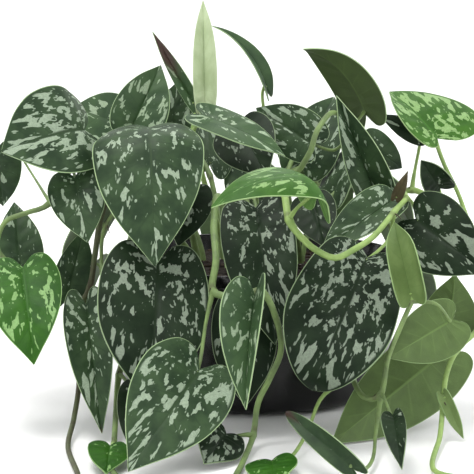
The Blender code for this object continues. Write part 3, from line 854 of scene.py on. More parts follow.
# The brown of a dried leaf tip
WITHERED = (0.045, 0.026, 0.020)

# Where the pale line round a blade starts and is full, as shares of the way to its margin
MARGIN_LINE = (0.978, 0.990)


@dataclass(frozen=True)
class Mottling:
    """The silver of a face: patches with small flecks between them, crowded in places.

    The scales stretch the noise across and along the blade. Each pair is where the silver
    starts and where it is full: in the noise, off the midrib, off the margin and with the
    leaf's own cover.
    """

    patch_scale: Triple = (185, 134, 1)
    crowd_scale: Triple = (42, 42, 1)
    fleck_scale: Triple = (420, 300, 1)
    crowding: float = 0.30
    covering: float = 0.26
    patch_level: Pair = (0.585, 0.615)
    fleck_level: Pair = (0.765, 0.785)
    fleck_noise: float = 0.75
    fleck_in_crowd: float = 0.5
    fleck_strength: float = 0.8
    off_rib: Pair = (0.02, 0.07)
    off_margin: Pair = (0.955, 0.90)
    least_cover: Pair = (0.02, 0.1)

    def silver(self, wiring: Wiring, aside: Socket) -> Socket:
        """How silver the face is.

        Args:
            wiring: The face's wiring.
            aside: The share of the way from the midrib to the margin.

        Returns:
            A share from 0 to 1.
        """
        place = wiring.attribute("vein_place", "Vector")
        cover = wiring.attribute("silver_cover")
        blotch = wiring.noise(wiring.stretched(place, self.patch_scale), 1, 2, bend=0.25)
        crowd = wiring.noise(wiring.stretched(place, self.crowd_scale), 1, 1)
        fleck = wiring.noise(wiring.stretched(place, self.fleck_scale), 1, 1, bend=0.2)
        crowded = wiring.product(wiring.math("SUBTRACT", crowd, 0.5), self.crowding)
        covered = wiring.product(wiring.math("SUBTRACT", cover, 0.5), self.covering)
        level = wiring.total(blotch, crowded, covered)
        patches = wiring.between(level, *self.patch_level)
        flecked = wiring.total(
            wiring.product(fleck, self.fleck_noise), wiring.product(level, self.fleck_in_crowd)
        )
        flecks = wiring.product(wiring.between(flecked, *self.fleck_level), self.fleck_strength)
        return wiring.product(
            wiring.math("MAXIMUM", patches, flecks),
            wiring.between(aside, *self.off_rib),
            wiring.between(aside, *self.off_margin),
            wiring.between(cover, *self.least_cover),
        )


@dataclass(frozen=True)
class LeafFinish:
    """The satin face, the matt underside and the pale margin of one kind of leaf.

    deep and light are the face between the patches, patch is the silver on it, rib the
    midrib, margin the thin line round it and under the other side.
    """

    tone: LeafTone
    deep: Colour
    light: Colour
    patch: Colour
    rib: Colour
    margin: Colour
    under: Colour
    satin: float = 0.42
    shine: float = 0.28
    mottling: Mottling = Mottling()

    def bordered(self, wiring: Wiring, colour: Socket, aside: Socket) -> Socket:
        """A colour with the pale line round the blade and the brown of a dried tip.

        Args:
            wiring: The wiring of the face or of the underside.
            colour: Its colour inside the line.
            aside: The share of the way from the midrib to the margin.

        Returns:
            The finished colour.
        """
        lined = wiring.mix(wiring.between(aside, *MARGIN_LINE), colour, self.margin)
        withered = wiring.between(wiring.attribute("browned"), 0.0, 0.5)
        return wiring.mix(withered, lined, WITHERED)

    def face(self) -> bpy.types.Material:
        """The upper face, mottled along its side veins."""
        wiring = Wiring(self.tone.value)
        aside = wiring.attribute("margin_share")
        silver = self.mottling.silver(wiring, aside)
        cloud = wiring.noise(wiring.place(), scale=60, detail=3, rough=0.55)
        grain = wiring.noise(wiring.place(), scale=900, detail=2, rough=0.6)
        ground = wiring.mix(wiring.between(cloud, 0.3, 0.7), self.deep, self.light)
        grooves = wiring.side_veins(aside, width=0.07, fade_from=0.6, strength=0.4)
        ground = wiring.mix(grooves, ground, self.deep)
        tint = wiring.mix(wiring.between(grain, 0.3, 0.75), self.patch, shaded(self.patch, 0.72))
        colour = wiring.mix(wiring.product(silver, 0.94), ground, tint)
        colour = wiring.mix(wiring.between(aside, 0.028, 0.006), colour, self.rib)
        colour = self.bordered(wiring, colour, aside)
        rough = wiring.math("SUBTRACT", self.satin + 0.06, wiring.product(silver, 0.08))
        skin = wiring.total(wiring.product(grain, 0.5), wiring.product(cloud, 0.6))
        height = wiring.total(skin, wiring.product(silver, 0.25))
        wiring.bump(height, distance=0.35 * MM, strength=0.5)
        return wiring.finish(colour, rough, Specular_IOR_Level=self.shine)

    def back(self) -> bpy.types.Material:
        """The paler underside, with its raised midrib and side veins."""
        wiring = Wiring(f"{self.tone.value}_under")
        aside = wiring.attribute("margin_share")
        ribs = wiring.side_veins(aside, width=0.09, fade_from=0.5, strength=0.35)
        cloud = wiring.noise(wiring.place(), scale=70, detail=3, rough=0.6)
        grain = wiring.noise(wiring.place(), scale=1100, detail=2, rough=0.6)
        dark, pale = shaded(self.under, 0.78), shaded(self.under, 1.35)
        colour = wiring.mix(wiring.between(cloud, 0.3, 0.7), dark, self.under)
        colour = wiring.mix(ribs, colour, pale)
        colour = wiring.mix(wiring.between(aside, 0.05, 0.015), colour, pale)
        colour = self.bordered(wiring, colour, aside)
        wiring.bump(wiring.total(grain, ribs), distance=0.3 * MM, strength=0.5)
        return wiring.finish(colour, self.satin + 0.12, Specular_IOR_Level=0.3)

    def edge(self) -> bpy.types.Material:
        """The cut edge of the blade, which shows as a thin pale line."""
        wiring = Wiring(f"{self.tone.value}_margin")
        cloud = wiring.noise(wiring.place(), scale=200)
        colour = wiring.mix(cloud, shaded(self.margin, 0.8), self.margin)
        return wiring.finish(colour, 0.5, Specular_IOR_Level=0.3)

    def materials(self) -> list[bpy.types.Material]:
        """Face, underside and margin, in the order of the blade's material slots."""
        return [self.face(), self.back(), self.edge()]


LEAF_FINISHES = (
    # Painted shade: the dark leaf's colours darkened, for leaves that lie in shade
    LeafFinish(
        LeafTone.DEEP,
        deep=(0.0050, 0.0130, 0.0048),
        light=(0.0130, 0.0270, 0.0110),
        patch=(0.228, 0.280, 0.210),
        rib=(0.010, 0.021, 0.008),
        margin=(0.220, 0.300, 0.165),
        under=(0.055, 0.090, 0.036),
        shine=0.13,
    ),
    LeafFinish(
        LeafTone.DARK,
        deep=(0.013, 0.031, 0.012),
        light=(0.033, 0.065, 0.025),
        patch=(0.288, 0.366, 0.262),
        rib=(0.024, 0.048, 0.018),
        margin=(0.290, 0.400, 0.210),
        under=(0.080, 0.135, 0.050),
        shine=0.19,
    ),
    LeafFinish(
        LeafTone.MID,
        deep=(0.021, 0.052, 0.018),
        light=(0.042, 0.086, 0.030),
        patch=(0.310, 0.405, 0.268),
        rib=(0.036, 0.078, 0.026),
        margin=(0.310, 0.430, 0.225),
        under=(0.058, 0.092, 0.030),
    ),
    LeafFinish(
        LeafTone.BRIGHT,
        deep=(0.013, 0.064, 0.003),
        light=(0.026, 0.100, 0.006),
        patch=(0.220, 0.390, 0.135),
        rib=(0.026, 0.100, 0.008),
        margin=(0.250, 0.400, 0.150),
        under=(0.090, 0.190, 0.045),
        shine=0.16,
    ),
    LeafFinish(
        LeafTone.LIME,
        deep=(0.022, 0.080, 0.006),
        light=(0.040, 0.120, 0.011),
        patch=(0.230, 0.380, 0.140),
        rib=(0.050, 0.150, 0.020),
        margin=(0.300, 0.440, 0.190),
        under=(0.110, 0.230, 0.055),
        shine=0.16,
    ),
    LeafFinish(
        LeafTone.PALE,
        deep=(0.320, 0.395, 0.225),
        light=(0.420, 0.500, 0.315),
        patch=(0.440, 0.520, 0.340),
        rib=(0.320, 0.395, 0.220),
        margin=(0.400, 0.480, 0.290),
        under=(0.350, 0.430, 0.250),
    ),
    LeafFinish(
        LeafTone.FRESH,
        deep=(0.100, 0.160, 0.048),
        light=(0.145, 0.215, 0.072),
        patch=(0.260, 0.360, 0.170),
        rib=(0.110, 0.180, 0.055),
        margin=(0.230, 0.340, 0.140),
        under=(0.092, 0.150, 0.042),
    ),
    LeafFinish(
        LeafTone.BROWN,
        deep=(0.040, 0.032, 0.016),
        light=(0.085, 0.070, 0.034),
        patch=(0.120, 0.110, 0.060),
        rib=(0.060, 0.070, 0.028),
        margin=(0.130, 0.120, 0.070),
        under=(0.075, 0.062, 0.032),
        satin=0.6,
    ),
)


@dataclass(frozen=True)
class StemFinish:
    """The skin of one kind of stem: fresh between its joints, duller and scarred at them."""

    tone: StemTone
    fresh: Colour
    dull: Colour
    scar: Colour
    rough: float = 0.46

    def material(self) -> bpy.types.Material:
        """The stem's material, which follows the joints along it."""
        wiring = Wiring(self.tone.value)
        joint = wiring.attribute("joint_share")
        cloud = wiring.noise(wiring.place(), scale=90, detail=3, rough=0.6)
        fine = wiring.noise(wiring.place(), scale=700, detail=3, rough=0.6)
        colour = wiring.mix(wiring.between(cloud, 0.35, 0.7), self.fresh, self.dull)
        colour = wiring.mix(wiring.between(fine, 0.62, 0.8, 0, 0.5), colour, self.scar)
        colour = wiring.mix(wiring.between(joint, 0.35, 0.95, 0, 0.7), colour, self.scar)
        wiring.bump(wiring.total(fine, cloud), distance=0.5 * MM, strength=0.5)
        rough = wiring.total(self.rough, wiring.product(fine, 0.14))
        return wiring.finish(colour, rough, Specular_IOR_Level=0.4)


STEM_FINISHES = (
    StemFinish(
        StemTone.OLIVE,
        fresh=(0.165, 0.250, 0.080),
        dull=(0.110, 0.165, 0.060),
        scar=(0.085, 0.095, 0.040),
    ),
    StemFinish(
        StemTone.LIME,
        fresh=(0.265, 0.385, 0.115),
        dull=(0.185, 0.290, 0.080),
        scar=(0.130, 0.170, 0.055),
    ),
    StemFinish(
        StemTone.BROWN,
        fresh=(0.075, 0.095, 0.038),
        dull=(0.055, 0.050, 0.026),
        scar=(0.045, 0.032, 0.018),
        rough=0.6,
    ),
)
LIME_STEMS = ("stem_right_bright", "stem_top_left", "stem_right_outer")


class Modelling:
    """Small steps of modelling that every sub-assembly uses."""

    @staticmethod
    def clear_selection() -> None:
        """Deselects everything, because an operator acts on all that is selected."""
        for piece in bpy.context.selected_objects:
            piece.select_set(False)

    @staticmethod
    def apply_all(piece: bpy.types.Object) -> None:
        """Applies the piece's modifiers in order."""
        Modelling.clear_selection()
        piece.select_set(True)
        bpy.context.view_layer.objects.active = piece
        for modifier in list(piece.modifiers):
            bpy.ops.object.modifier_apply(modifier=modifier.name)

    @staticmethod
    def joined(pieces: list[bpy.types.Object], name: str) -> bpy.types.Object:
        """Joins pieces into the first one, under a name."""
        Modelling.clear_selection()
        for piece in pieces:
            piece.select_set(True)
        bpy.context.view_layer.objects.active = pieces[0]
        if len(pieces) > 1:
            bpy.ops.object.join()
        pieces[0].name = name
        pieces[0].data.name = name
        return pieces[0]

    @staticmethod
    def added(name: str, data: bpy.types.ID) -> bpy.types.Object:
        """Puts a mesh, a curve, a light or a camera into the scene, under a name."""
        made = bpy.data.objects.new(name, data)
        bpy.context.scene.collection.objects.link(made)
        return made

    @staticmethod
    def close_up(mesh: bpy.types.Mesh, gap: float = MERGE_GAP) -> None:
        """Merges doubled points and turns all faces outwards."""
        shape = bmesh.new()
        shape.from_mesh(mesh)
        bmesh.ops.remove_doubles(shape, verts=shape.verts, dist=gap)
        bmesh.ops.recalc_face_normals(shape, faces=shape.faces)
        shape.to_mesh(mesh)
        shape.free()

    @staticmethod
    def turned(name: str, section: list[Pair], sides: int, ring: bool) -> bpy.types.Object:
        """Turns a section round the upright axis.

        Args:
            name: The piece's name.
            section: Its points, as radius and height.
            sides: The number of steps once round.
            ring: Whether the last point joins the first.

        Returns:
            The turned piece.
        """
        mesh = bpy.data.meshes.new(name)
        count = len(section)
        edges = [(index, (index + 1) % count) for index in range(count if ring else count - 1)]
        mesh.from_pydata([(radius, 0, height) for radius, height in section], edges, [])
        piece = Modelling.added(name, mesh)
        screw = piece.modifiers.new("Turn", "SCREW")
        screw.steps = sides
        screw.render_steps = sides
        screw.use_merge_vertices = True
        screw.merge_threshold = MERGE_GAP
        Modelling.apply_all(piece)
        Modelling.close_up(piece.data)
        return piece

    @staticmethod
    def smooth(piece: bpy.types.Object, angle: float = 60) -> None:
        """Smooth shading, with edges sharper than an angle kept."""
        piece.data.shade_smooth()
        piece.data.set_sharp_from_angle(angle=radians(angle))

    @staticmethod
    def placed(piece: bpy.types.Object, node: str, slot: str) -> None:
        """Sets a finished piece on the root body, in the place of its solid."""
        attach(piece, "root")
        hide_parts(node)
        log.info("%s: %d faces", piece.name, len(piece.data.polygons))


class Blade:
    """The bent surface of one leaf, from the notch at its base to its tip."""

    def __init__(self, leaf: Leaf) -> None:
        """Works out the midrib and the axes of a leaf."""
        self.leaf = leaf
        self.length = leaf.length * MM
        self.half_width = leaf.width * MM / 2
        self.midrib = self.bent_midrib()
        self.axes = self.placed_axes()

    def bent_midrib(self) -> list[Triple]:
        """Points of the midrib, as forth, height and angle, with its ends on one level."""
        leaf = self.leaf
        forth, height = 0.0, 0.0
        points = []
        for step in range(MIDRIB_STEPS + 1):
            share = step / MIDRIB_STEPS
            angle = radians(leaf.arch) * share + radians(leaf.crook) * ease(share / CROOK_SHARE)
            angle += radians(leaf.hook) * ease((share - 1 + HOOK_SHARE) / HOOK_SHARE)
            if step:
                forth += cos(angle) * self.length / MIDRIB_STEPS
                height -= sin(angle) * self.length / MIDRIB_STEPS
            points.append((forth, height, angle))
        level = atan2(height, forth)
        ahead, rise = cos(level), sin(level)
        return [(x * ahead + z * rise, z * ahead - x * rise, angle + level) for x, z, angle in points]

    def placed_axes(self) -> Matrix:
        """Columns across, along to the tip, and out of the upper face."""
        leaf = self.leaf
        along = self.heading(self.midrib[-1][0])
        if isinstance(leaf.tip, Vector):
            outward = Vector((leaf.base.x, leaf.base.y, 0)).normalized()
            towards = outward + Vector((0, 0, FACE_RISE))
        else:
            towards = EYE - leaf.base
        up = (towards - along * towards.dot(along)).normalized()
        if leaf.underside:
            up = -up
        up = Matrix.Rotation(radians(leaf.roll), 3, along) @ up
        return Matrix((along.cross(up), along, up)).transposed()

    def heading(self, chord: float) -> Vector:
        """The direction from the base to the tip, which is this far away."""
        leaf = self.leaf
        if isinstance(leaf.tip, Vector):
            return (leaf.tip - leaf.base).normalized()
        ray = line_of_sight(*leaf.tip)
        along = ray.dot(leaf.base - EYE)
        aside = (EYE + ray * along - leaf.base).length
        depth = sqrt(max(0, chord * chord - aside * aside))
        target = EYE + ray * (along - depth if leaf.near else along + depth)
        return (target - leaf.base).normalized()

    @staticmethod
    def margin_point(place: float) -> Vector:
        """A point of the heart-shaped margin, in shares of the width and the length."""
        outline = [Vector(point) for point in HEART_MARGIN]
        point = smooth_point(outline, place)
        return Vector((max(point.x, 0), point.y))

    def flat_point(self, place: float, side: float) -> Pair:
        """A point of the flat blade: place runs from notch to tip, side from -1 to 1."""
        leaf = self.leaf
        edge = self.margin_point(place)
        back = leaf.lobe if edge.y < 0 else 1
        half = 1 + leaf.skew * (1 if side > 0 else -1)
        fuller = 1 + leaf.blunt * max(edge.y, 0) ** 2
        midrib = place**VEIN_SWEEP
        across = edge.x * 2 * self.half_width * side * half * fuller
        along = midrib + (edge.y * back - midrib) * abs(side)
        return across, along

    def midrib_at(self, share: float) -> Triple:
        """The midrib's point at a share of its length. Behind its base it runs straight on."""
        if share < 0:
            angle = self.midrib[0][2]
            back = share * self.length
            return back * cos(angle), -back * sin(angle), angle
        step = min(int(share * MIDRIB_STEPS), MIDRIB_STEPS - 1)
        t = share * MIDRIB_STEPS - step
        return tuple(a + (b - a) * t for a, b in zip(self.midrib[step], self.midrib[step + 1]))

    def relief(self, place: float, side: float) -> float:
        """How far the face swells between the side veins and sinks along the midrib."""
        ends = ease(place / END_SHARE) * ease((1 - place) / END_SHARE)
        quilt = cos(2 * pi * SIDE_VEINS * place) * sin(pi * min(abs(side), 1)) * VEIN_RELIEF * ends
        sink = bump_at(abs(side) * self.half_width, 0, RIB_REACH) * RIB_RELIEF
        return quilt - sink * sin(pi * min(max(place, 0), 1))

    def point(self, place: float, side: float) -> Vector:
        """A point of the blade once it is folded, curled, waved and bent."""
        leaf = self.leaf
        across, share = self.flat_point(place, side)
        aside = abs(across)
        fold = radians(leaf.fold)
        turn = radians(leaf.curl) / self.half_width or NO_CURL
        out = (sin(fold + turn * aside) - sin(fold)) / turn
        rise = (cos(fold) - cos(fold + turn * aside)) / turn
        ripple = sin(2 * pi * (RIPPLES * place + leaf.skew * RIPPLE_SHIFT))
        rise += WAVE_HEIGHT * across / self.half_width * abs(side) * ripple
        rise += self.relief(place, side)
        out = out if across > 0 else -out
        forth, height, angle = self.midrib_at(share)
        local = Vector((out, forth + rise * sin(angle), height + rise * cos(angle)))
        return leaf.base + self.axes @ local

    def petiole_end(self) -> tuple[Vector, Vector]:
        """Where the petiole ends, in the blade just past the notch, and how it arrives."""
        leaf = self.leaf
        radius = PETIOLE_RADIUS * leaf.petiole
        forth, height, angle = self.midrib_at((radius + PETIOLE_INSET) / self.length)
        tangent = self.axes @ Vector((0, cos(angle), -sin(angle)))
        normal = self.axes @ Vector((0, sin(angle), cos(angle)))
        foot = leaf.base + self.axes @ Vector((0, forth, height))
        steep, flat = FUSED_ARRIVAL if leaf.fused else ARRIVAL
        arrive = (normal * steep + tangent * flat).normalized()
        return foot if leaf.fused else foot - normal * radius * PETIOLE_SINK, arrive


@dataclass
class LeafPiece:
    """The fine mesh of one blade.

    The mottling is laid out across and along the flat blade, at these scales. Each leaf has
    a layer of its own, and each of its halves one a little further on.
    """

    leaf: Leaf
    rows: int = 44
    columns: int = 28
    pattern_across: float = 1.2
    pattern_along: float = 1.25
    layer_step: float = 0.37
    half_step: float = 0.7

    def look(self) -> tuple[LeafTone, float]:
        """The leaf's tone and its share of silver."""
        return LEAF_LOOKS.get(self.leaf.name, BACK_LOOK)

    def layer(self) -> float:
        """A number from the leaf's name, so that no two leaves are mottled alike."""
        letters = enumerate(self.leaf.name, 1)
        return sum(place * ord(letter) for place, letter in letters) * self.layer_step

    def mark(self, mesh: bpy.types.Mesh, blade: Blade) -> None:
        """Writes what the finishes read at each point of the flat grid.

        Args:
            mesh: The grid, which runs from -1 to 1 both ways.
            blade: The blade that it will be bent to.
        """
        brown_share = BROWN_TIPS.get(self.leaf.name, 0)
        grid = [(point.co.x, (point.co.y + 1) / 2) for point in mesh.vertices]
        layer = self.layer()
        pattern = []
        for side, place in grid:
            pattern.append(blade.flat_point(place, side)[0] * self.pattern_across)
            pattern.append(place * blade.length * self.pattern_along)
            pattern.append(layer + (self.half_step if side > 0 else 0))
        mesh.attributes.new("vein_place", "FLOAT_VECTOR", "POINT").data.foreach_set("vector", pattern)
        brown_from = 1 - brown_share
        shares = {
            "margin_share": [abs(side) for side, _ in grid],
            "vein_share": [place for _, place in grid],
            "silver_cover": [self.look()[1]] * len(grid),
            "browned": [max(0, place - brown_from) / max(brown_share, 0.01) for _, place in grid],
        }
        for name, values in shares.items():
            mesh.attributes.new(name, "FLOAT", "POINT").data.foreach_set("value", values)

    def build(self, finishes: dict[LeafTone, list[bpy.types.Material]]) -> bpy.types.Object:
        """The blade: a grid bent to its form, closed at notch and tip, with its thickness.

        Args:
            finishes: Face, underside and margin of each tone.

        Returns:
            The blade, with its materials.
        """
        Modelling.clear_selection()
        bpy.ops.mesh.primitive_grid_add(x_subdivisions=self.columns, y_subdivisions=self.rows, size=2)
        piece = bpy.context.object
        mesh = piece.data
        blade = Blade(self.leaf)
        tone, _ = self.look()
        self.mark(mesh, blade)
        for vertex in mesh.vertices:
            vertex.co = blade.point((vertex.co.y + 1) / 2, vertex.co.x)
        shape = bmesh.new()
        shape.from_mesh(mesh)
        bmesh.ops.remove_doubles(shape, verts=shape.verts, dist=MERGE_GAP)
        bmesh.ops.triangulate(shape, faces=[face for face in shape.faces if len(face.verts) > 4])
        shape.to_mesh(mesh)
        shape.free()
        for material in finishes[tone]:
            mesh.materials.append(material)
        solidify = piece.modifiers.new("Thickness", "SOLIDIFY")
        solidify.thickness = BLADE_THICKNESS
        solidify.offset = 0
        solidify.material_offset = 1
        solidify.material_offset_rim = 2
        Modelling.apply_all(piece)
        Modelling.smooth(piece)
        piece.name = self.leaf.name
        return piece


@dataclass
class StemPiece:
    """One stem with its petioles, its aerial roots and its fused leaves.

    A petiole is slim between its sheath at the stem and its knee at the blade. A pair for
    these is how much thicker, or duller, it is there, and the share of its length over which
    that fades. It bends in to the blade over no more than its longest close.
    """

    stem: Stem
    sides: int = 3
    taper: float = 0.35
    swell_length: float = 0.8 * SAMPLE_LENGTH
    slim: float = 0.78
    sheath: Pair = (0.45, 0.35)
    sheath_dullness: Pair = (0.5, 0.2)
    knee: Pair = (0.22, 0.14)
    knee_dullness: Pair = (0.3, 0.1)
    knee_length: float = 0.1
    longest_close: float = 10 * MM
    root_radius: float = 0.55 * MM
    root_thinning: float = 0.17
    root_lengths: Pair = (4, 9)
    root_steps: int = 6
    no_roots_below: float = 0.2 * SOIL_TOP

    def tube(
        self, name: str, points: list[Vector], radii: list[float], swell: list[float]
    ) -> bpy.types.Object:
        """A closed round tube through the points.

        Args:
            name: The tube's name.
            points: Its middle line.
            radii: Its radius at each point.
            swell: How near each point is to a joint, from 0 to 1.

        Returns:
            The tube as a mesh object, with that nearness as an attribute.
        """
        curve = bpy.data.curves.new(name, "CURVE")
        curve.dimensions = "3D"
        curve.bevel_depth = 1
        curve.bevel_resolution = self.sides
        curve.use_fill_caps = True
        spline = curve.splines.new("POLY")
        spline.points.add(len(points) - 1)
        for knot, point, radius in zip(spline.points, points, radii):
            knot.co = (*point, 1)
            knot.radius = radius
        guide = Modelling.added(name, curve)
        bpy.context.view_layer.update()
        graph = bpy.context.evaluated_depsgraph_get()
        mesh = bpy.data.meshes.new_from_object(guide.evaluated_get(graph))
        bpy.data.objects.remove(guide)
        bpy.data.curves.remove(curve)
        Modelling.close_up(mesh, TUBE_MERGE_GAP)
        around = 4 + 2 * self.sides
        last = len(swell) - 1
        near = [swell[min(index // around, last)] for index in range(len(mesh.vertices))]
        mesh.attributes.new("joint_share", "FLOAT", "POINT").data.foreach_set("value", near)
        return Modelling.added(name, mesh)

    def line(self) -> tuple[list[Vector], list[float], list[float]]:
        """The stem's middle line, radii and nearness to its joints."""
        stem = self.stem
        x, y = stem.root
        bottom = at(x, y, 0) + Vector((0, 0, SOIL_TOP - ROOTED_DEPTH))
        top = bottom + Vector((0, 0, ROOTED_DEPTH + STRAIGHT_RISE))
        knots = [bottom, top, *stem.route]
        spans = len(knots) - 1
        joints = sorted({leaf.joint + 2 for leaf in stem.leaves})
        points, radii, swells = [], [], []
        for span in range(spans):
            length = (knots[span + 1] - knots[span]).length
            steps = max(2, round(length / SAMPLE_LENGTH))
            for step in range(steps + (span == spans - 1)):
                along = span + step / steps
                reach = self.swell_length / max(length, 1 * MM)
                near = max((bump_at(along, joint, reach) for joint in joints), default=0)
                slimmer = 1 - self.taper * along / spans
                points.append(smooth_point(knots, along / spans))
                radii.append(stem.radius * MM * slimmer * (1 + (NODE_SWELL - 1) * near))
                swells.append(near)
        return points, radii, swells

    def petiole(self, leaf: Leaf) -> bpy.types.Object:
        """The petiole of one leaf, thick at its sheath and a little thicker at the blade."""
        start = self.stem.route[leaf.joint]
        end, arrive = Blade(leaf).petiole_end()
        reach = (end - start).length
        shares = [step / PETIOLE_STEPS for step in range(PETIOLE_STEPS + 1)]
        if leaf.via:
            knots = [start, *leaf.via, end]
            points = [smooth_point(knots, along) for along in shares]
        else:
            close = end - arrive * min(reach * 0.4, self.longest_close)
            leave = start + (end - start) * 0.3 + Vector((0, 0, reach * 0.15))
            points = [bezier(start, leave, close, end, along) for along in shares]
        thickness = self.along_petiole(shares, self.sheath, self.knee)
        radii = [PETIOLE_RADIUS * leaf.petiole * (self.slim + more) for more in thickness]
        dullness = self.along_petiole(shares, self.sheath_dullness, self.knee_dullness)
        return self.tube(f"{leaf.name}_petiole", points, radii, dullness)

    def along_petiole(self, shares: list[float], sheath: Pair, knee: Pair) -> list[float]:
        """What a petiole's sheath and knee add at places along it.

        Args:
            shares: The places, as shares of its length.
            sheath: How much the sheath adds at the stem, and where that has faded.
            knee: How much the knee adds, and how far from the blade it starts.

        Returns:
            The sum of the two at each place.
        """
        at_stem, sheath_share = sheath
        at_blade, knee_share = knee
        return [
            at_stem * ease(1 - share / sheath_share)
            + at_blade * ease((share - 1 + knee_share) / self.knee_length)
            for share in shares
        ]

    def aerial_roots(self, points: list[Vector], swells: list[float]) -> list[bpy.types.Object]:
        """Short brown roots that start at the stem's joints and bend down.

        Args:
            points: The stem's middle line.
            swells: How near each point is to a joint, from 0 to 1.

        Returns:
            The roots. What lies on the surface has none.
        """
        random = Random(self.stem.name)
        steps = self.root_steps
        roots = []
        for index in range(2, len(points) - 2):
            before, here, after = swells[index - 1 : index + 2]
            if here <= JOINT_LEVEL or here < max(before, after) or points[index].z < self.no_roots_below:
                continue
            along = (points[index + 1] - points[index - 1]).normalized()
            chance = Vector((random.uniform(-1, 1), random.uniform(-0.2, 0.6), 0.3))
            away = along.cross(chance).normalized()
            length = random.uniform(*self.root_lengths) * MM
            start = points[index] - along * 2 * MM
            leave = start + away * length * 0.3
            bend = start + away * length * 0.6 - Vector((0, 0, length * 0.15))
            tip = start + away * length - Vector((0, 0, length * 0.6))
            line = [bezier(start, leave, bend, tip, step / steps) for step in range(steps + 1)]
            radii = [self.root_radius * (1.5 - step * self.root_thinning) for step in range(steps + 1)]
            swell = [1.0] * len(line)
            roots.append(self.tube(f"{self.stem.name}_root_{index}", line, radii, swell))
        return roots

    def build(
        self, stems: dict[StemTone, bpy.types.Material], leaves: dict[LeafTone, list[bpy.types.Material]]
    ) -> bpy.types.Object:
        """The whole piece, joined.

        Args:
            stems: The material of each tone of stem.
            leaves: The materials of each tone of leaf.

        Returns:
            The stem, with its fused leaves.
        """
        stem = self.stem
        tone = StemTone.LIME if stem.name in LIME_STEMS else StemTone.OLIVE
        tone = StemTone.BROWN if stem.woody else tone
        points, radii, swells = self.line()
        body = self.tube(stem.name, points, radii, swells)
        body.data.materials.append(stems[tone])
        parts = [body]
        for leaf in stem.leaves:
            petiole = self.petiole(leaf)
            petiole.data.materials.append(stems[self.petiole_tone(leaf, tone)])
            parts.append(petiole)
            if leaf.fused:
                parts.append(LeafPiece(leaf, rows=24, columns=14).build(leaves))
        for root in self.aerial_roots(points, swells):
            root.data.materials.append(stems[StemTone.BROWN])
            parts.append(root)
        piece = Modelling.joined(parts, f"{stem.name}_fine")
        Modelling.smooth(piece)
        return piece

    @staticmethod
    def petiole_tone(leaf: Leaf, tone: StemTone) -> StemTone:
        """A young leaf has a bright petiole, and any other its stem's green, olive on a brown one."""
        if leaf.young:
            return StemTone.LIME
        return StemTone.OLIVE if tone is StemTone.BROWN else tone


